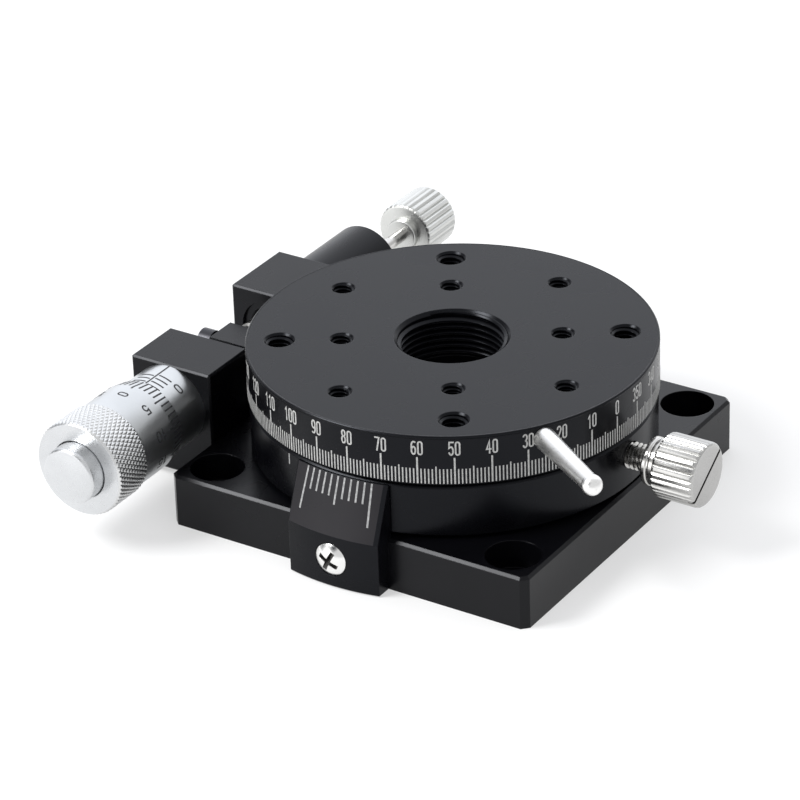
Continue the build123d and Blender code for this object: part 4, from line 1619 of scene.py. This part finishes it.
    def _thimble_lines(self) -> Shape:
        """Graduations and numbers of the thimble.

        Returns:
            The shape, drawn in place.
        """
        shape = Shape()
        cutter = Cutter(self.line_width, self.line_lift)
        step = 360.0 / self.divisions
        for mark in range(self.divisions):
            wrap = self._wrap(self._thimble_radius, self.zero_deg - step * mark, self.radius)
            foot = self.edge - (self.five_line if mark % 5 == 0 else self.unit_line)
            cutter.line(shape, 0.0, foot, self.edge - self.line_inset, wrap, self.line_pieces)
            if mark % 5 == 0:
                self._number(shape, str(mark), 0.0, self.number_y, wrap)
        return shape

    def _number(self, shape: Shape, text: str, across: float, y: float, wrap: Wrap) -> None:
        """Adds a number that reads along the axis, away from the block.

        Args:
            shape: the shape that takes it.
            text: the number.
            across: middle of the number round the drum.
            y: middle of the number along the axis.
            wrap: places a point on the drum.
        """
        foot = across - self.number_height / 2.0
        cutter = Cutter(self.number_width)
        for stroke in Digits(self.number_half_width).number(text, self.number_height, self.number_gap):
            cutter.ribbon(shape, [(foot + up, y - along) for along, up in divided(stroke)], wrap)

    def _sleeve_lines(self) -> Shape:
        """Datum line, graduations and numbers of the sleeve.

        Returns:
            The shape, drawn in place.
        """
        shape = Shape()
        wrap = self._wrap(lambda y: self.sleeve_radius, self.datum_deg, self.sleeve_radius)
        cutter = Cutter(self.line_width)
        cutter.line(shape, 0.0, self.sleeve_end, self.sleeve_start, wrap)
        for mark in range(self.scale_marks):
            y = self.scale_zero - self.scale_pitch * mark
            cutter.ribbon(shape, divided([(self.scale_gap, y), (self.scale_reach, y)]), wrap)
            half = y - self.scale_pitch / 2.0
            cutter.ribbon(shape, divided([(-self.scale_gap, half), (-self.scale_reach, half)]), wrap)
        for mark in self.scale_numbers:
            y = self.scale_zero - self.scale_pitch * mark
            self._number(shape, str(mark), self.scale_number_across, y, wrap)
        return shape

    def build(self) -> None:
        """Makes the thimble and the scales."""
        thimble = Piece("thimble", Slot.CHROME)
        barrel = self._barrel().build("thimble_barrel", self.finishes.satin, self.place)
        thimble.dress(barrel, "micrometer_thimble")
        grip, ring = self._grip()
        thimble.dress(grip.build("thimble_grip", self.finishes.knurl, self.place, 60.0))
        thimble.dress(ring.build("thimble_end_ring", self.finishes.turned_chrome, self.place, 25.0))
        cap = self._cap().build("thimble_end_cap", self.finishes.turned_chrome, self.place, 60.0)
        thimble.dress(cap, "thimble_cap")
        thimble.dress(self._thimble_lines().build("thimble_scale", self.finishes.black_paint))
        sleeve = Piece("base", Slot.CHROME)
        sleeve.dress(self._sleeve_lines().build("sleeve_scale", self.finishes.black_paint))


@dataclass
class FrameDress:
    """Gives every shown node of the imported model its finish."""

    finishes: Finishes
    frame: dict

    def build(self) -> None:
        """Assigns a finish to each node by its name or its slot in the record."""
        for part in self.frame["record"]["subparts"]:
            made = self.frame["nodes"][part["node"]]
            material = self.finishes.for_node(part["node"], Slot(part["material_slot"]))
            made.data.materials.clear()
            made.data.materials.append(material)
            LOG.info("dressed %s with %s", made.name, material.name)


@dataclass(frozen=True)
class Glow:
    """Round patch of the surroundings that is brighter or darker than the rest."""

    way: Point
    edge_deg: float
    core_deg: float
    tone: Tone


@dataclass(frozen=True)
class Lamp:
    """Soft square lamp."""

    name: str = "key"
    place: Point = (-355.0, -355.0, 545.0)
    aim: Point = (0.0, 0.0, 10.0)
    size: float = 280.0
    power: float = 4.6

    def build(self) -> None:
        """Hangs the lamp."""
        data = bpy.data.lights.new(self.name, "AREA")
        data.size = self.size * MM
        data.energy = self.power
        made = bpy.data.objects.new(self.name, data)
        made.location = Vector(self.place) * MM
        made.rotation_euler = (Vector(self.aim) - Vector(self.place)).to_track_quat("-Z", "Y").to_euler()
        bpy.context.scene.collection.objects.link(made)


@dataclass
class Studio:
    """White light table, soft surroundings and the camera."""

    finishes: Finishes
    azimuth: float = 33.359
    elevation: float = 28.697
    roll: float = -1.951
    distance: float = 592.44
    target: Point = (-11.353, 2.943, 9.627)
    focal_px: float = 3996.0
    frame_px: float = 800.0
    sensor: float = 36.0
    floor_half: float = 4000.0
    even_tone: Tone = (0.76, 0.765, 0.775)
    glows: tuple[Glow, ...] = (
        Glow((-0.42, 0.72, 0.55), 62.0, 20.0, (0.75, 0.78, 0.85)),
        Glow((-0.5, -0.86, 0.1), 26.0, 8.0, (1.5, 1.5, 1.5)),
        Glow((-0.21, -0.73, 0.65), 28.0, 12.0, (-0.7, -0.7, -0.7)),
        Glow((-0.95, 0.0, 0.3), 36.0, 16.0, (-0.55, -0.55, -0.55)),
    )

    def _camera(self) -> None:
        """Makes the camera at the photograph's view."""
        turn = math.radians(self.azimuth)
        lift = math.radians(self.elevation)
        back = Vector((math.sin(turn) * math.cos(lift), -math.cos(turn) * math.cos(lift), math.sin(lift)))
        right = (-back).cross(Vector((0.0, 0.0, 1.0))).normalized()
        up = right.cross(-back)
        roll = math.radians(self.roll)
        side = right * math.cos(roll) + up * math.sin(roll)
        top = up * math.cos(roll) - right * math.sin(roll)
        data = bpy.data.cameras.new("view")
        data.sensor_width = self.sensor
        data.lens = self.focal_px * self.sensor / self.frame_px
        data.clip_end = 100.0
        made = bpy.data.objects.new("view", data)
        place = Matrix((side, top, back)).transposed().to_4x4()
        place.translation = (Vector(self.target) + back * self.distance) * MM
        made.matrix_world = place
        bpy.context.scene.collection.objects.link(made)
        bpy.context.scene.camera = made

    def _floor(self) -> None:
        """Makes the top of the light table."""
        half = self.floor_half
        shape = Shape()
        shape.disc([(-half, -half, 0.0), (half, -half, 0.0), (half, half, 0.0), (-half, half, 0.0)])
        shape.build("light_table", self.finishes.light_table)

    def _patch(self, tree: bpy.types.NodeTree, glow: Glow) -> Socket:
        """Light of one patch of the surroundings.

        Args:
            tree: node tree of the world.
            glow: the patch.

        Returns:
            The light that it adds.
        """
        coords = tree.nodes.new("ShaderNodeTexCoord")
        nearness = tree.nodes.new("ShaderNodeVectorMath")
        nearness.operation = "DOT_PRODUCT"
        nearness.inputs[1].default_value = Vector(glow.way).normalized()
        tree.links.new(coords.outputs["Generated"], nearness.inputs[0])
        share = tree.nodes.new("ShaderNodeMapRange")
        share.interpolation_type = "SMOOTHSTEP"
        share.inputs["From Min"].default_value = math.cos(math.radians(glow.edge_deg))
        share.inputs["From Max"].default_value = math.cos(math.radians(glow.core_deg))
        tree.links.new(nearness.outputs["Value"], share.inputs["Value"])
        light = tree.nodes.new("ShaderNodeVectorMath")
        light.operation = "SCALE"
        light.inputs[0].default_value = glow.tone
        tree.links.new(share.outputs["Result"], light.inputs["Scale"])
        return light.outputs["Vector"]

    def _sky(self) -> None:
        """Makes the soft surroundings, with two brighter and two darker patches."""
        world = bpy.data.worlds.new("studio")
        world.use_nodes = True
        tree = world.node_tree
        total: Socket | None = None
        for glow in self.glows:
            adder = tree.nodes.new("ShaderNodeVectorMath")
            adder.operation = "ADD"
            adder.inputs[0].default_value = self.even_tone
            if total is not None:
                tree.links.new(total, adder.inputs[0])
            tree.links.new(self._patch(tree, glow), adder.inputs[1])
            total = adder.outputs["Vector"]
        tree.links.new(total, tree.nodes["Background"].inputs["Color"])
        bpy.context.scene.world = world

    def build(self) -> None:
        """Makes the camera, the table and the light."""
        self._camera()
        self._floor()
        self._sky()
        Lamp().build()
        bpy.context.scene.view_settings.view_transform = "Standard"
        LOG.info("studio ready")


def main() -> None:
    """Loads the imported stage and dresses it."""
    logging.basicConfig(level=logging.INFO, format="%(name)s: %(message)s")
    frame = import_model()
    finishes = Finishes()
    FrameDress(finishes, frame).build()
    TableDial(finishes).build()
    TableEdge(finishes).build()
    TableThreads(finishes).build()
    RingIndex(finishes).build()
    VernierScale(finishes).build()
    VernierScrew(finishes).build()
    RingClampKnob(finishes).build()
    PullKnob(finishes).build()
    MicrometerHead(finishes).build()
    Studio(finishes).build()


if __name__ == "__main__":
    main()
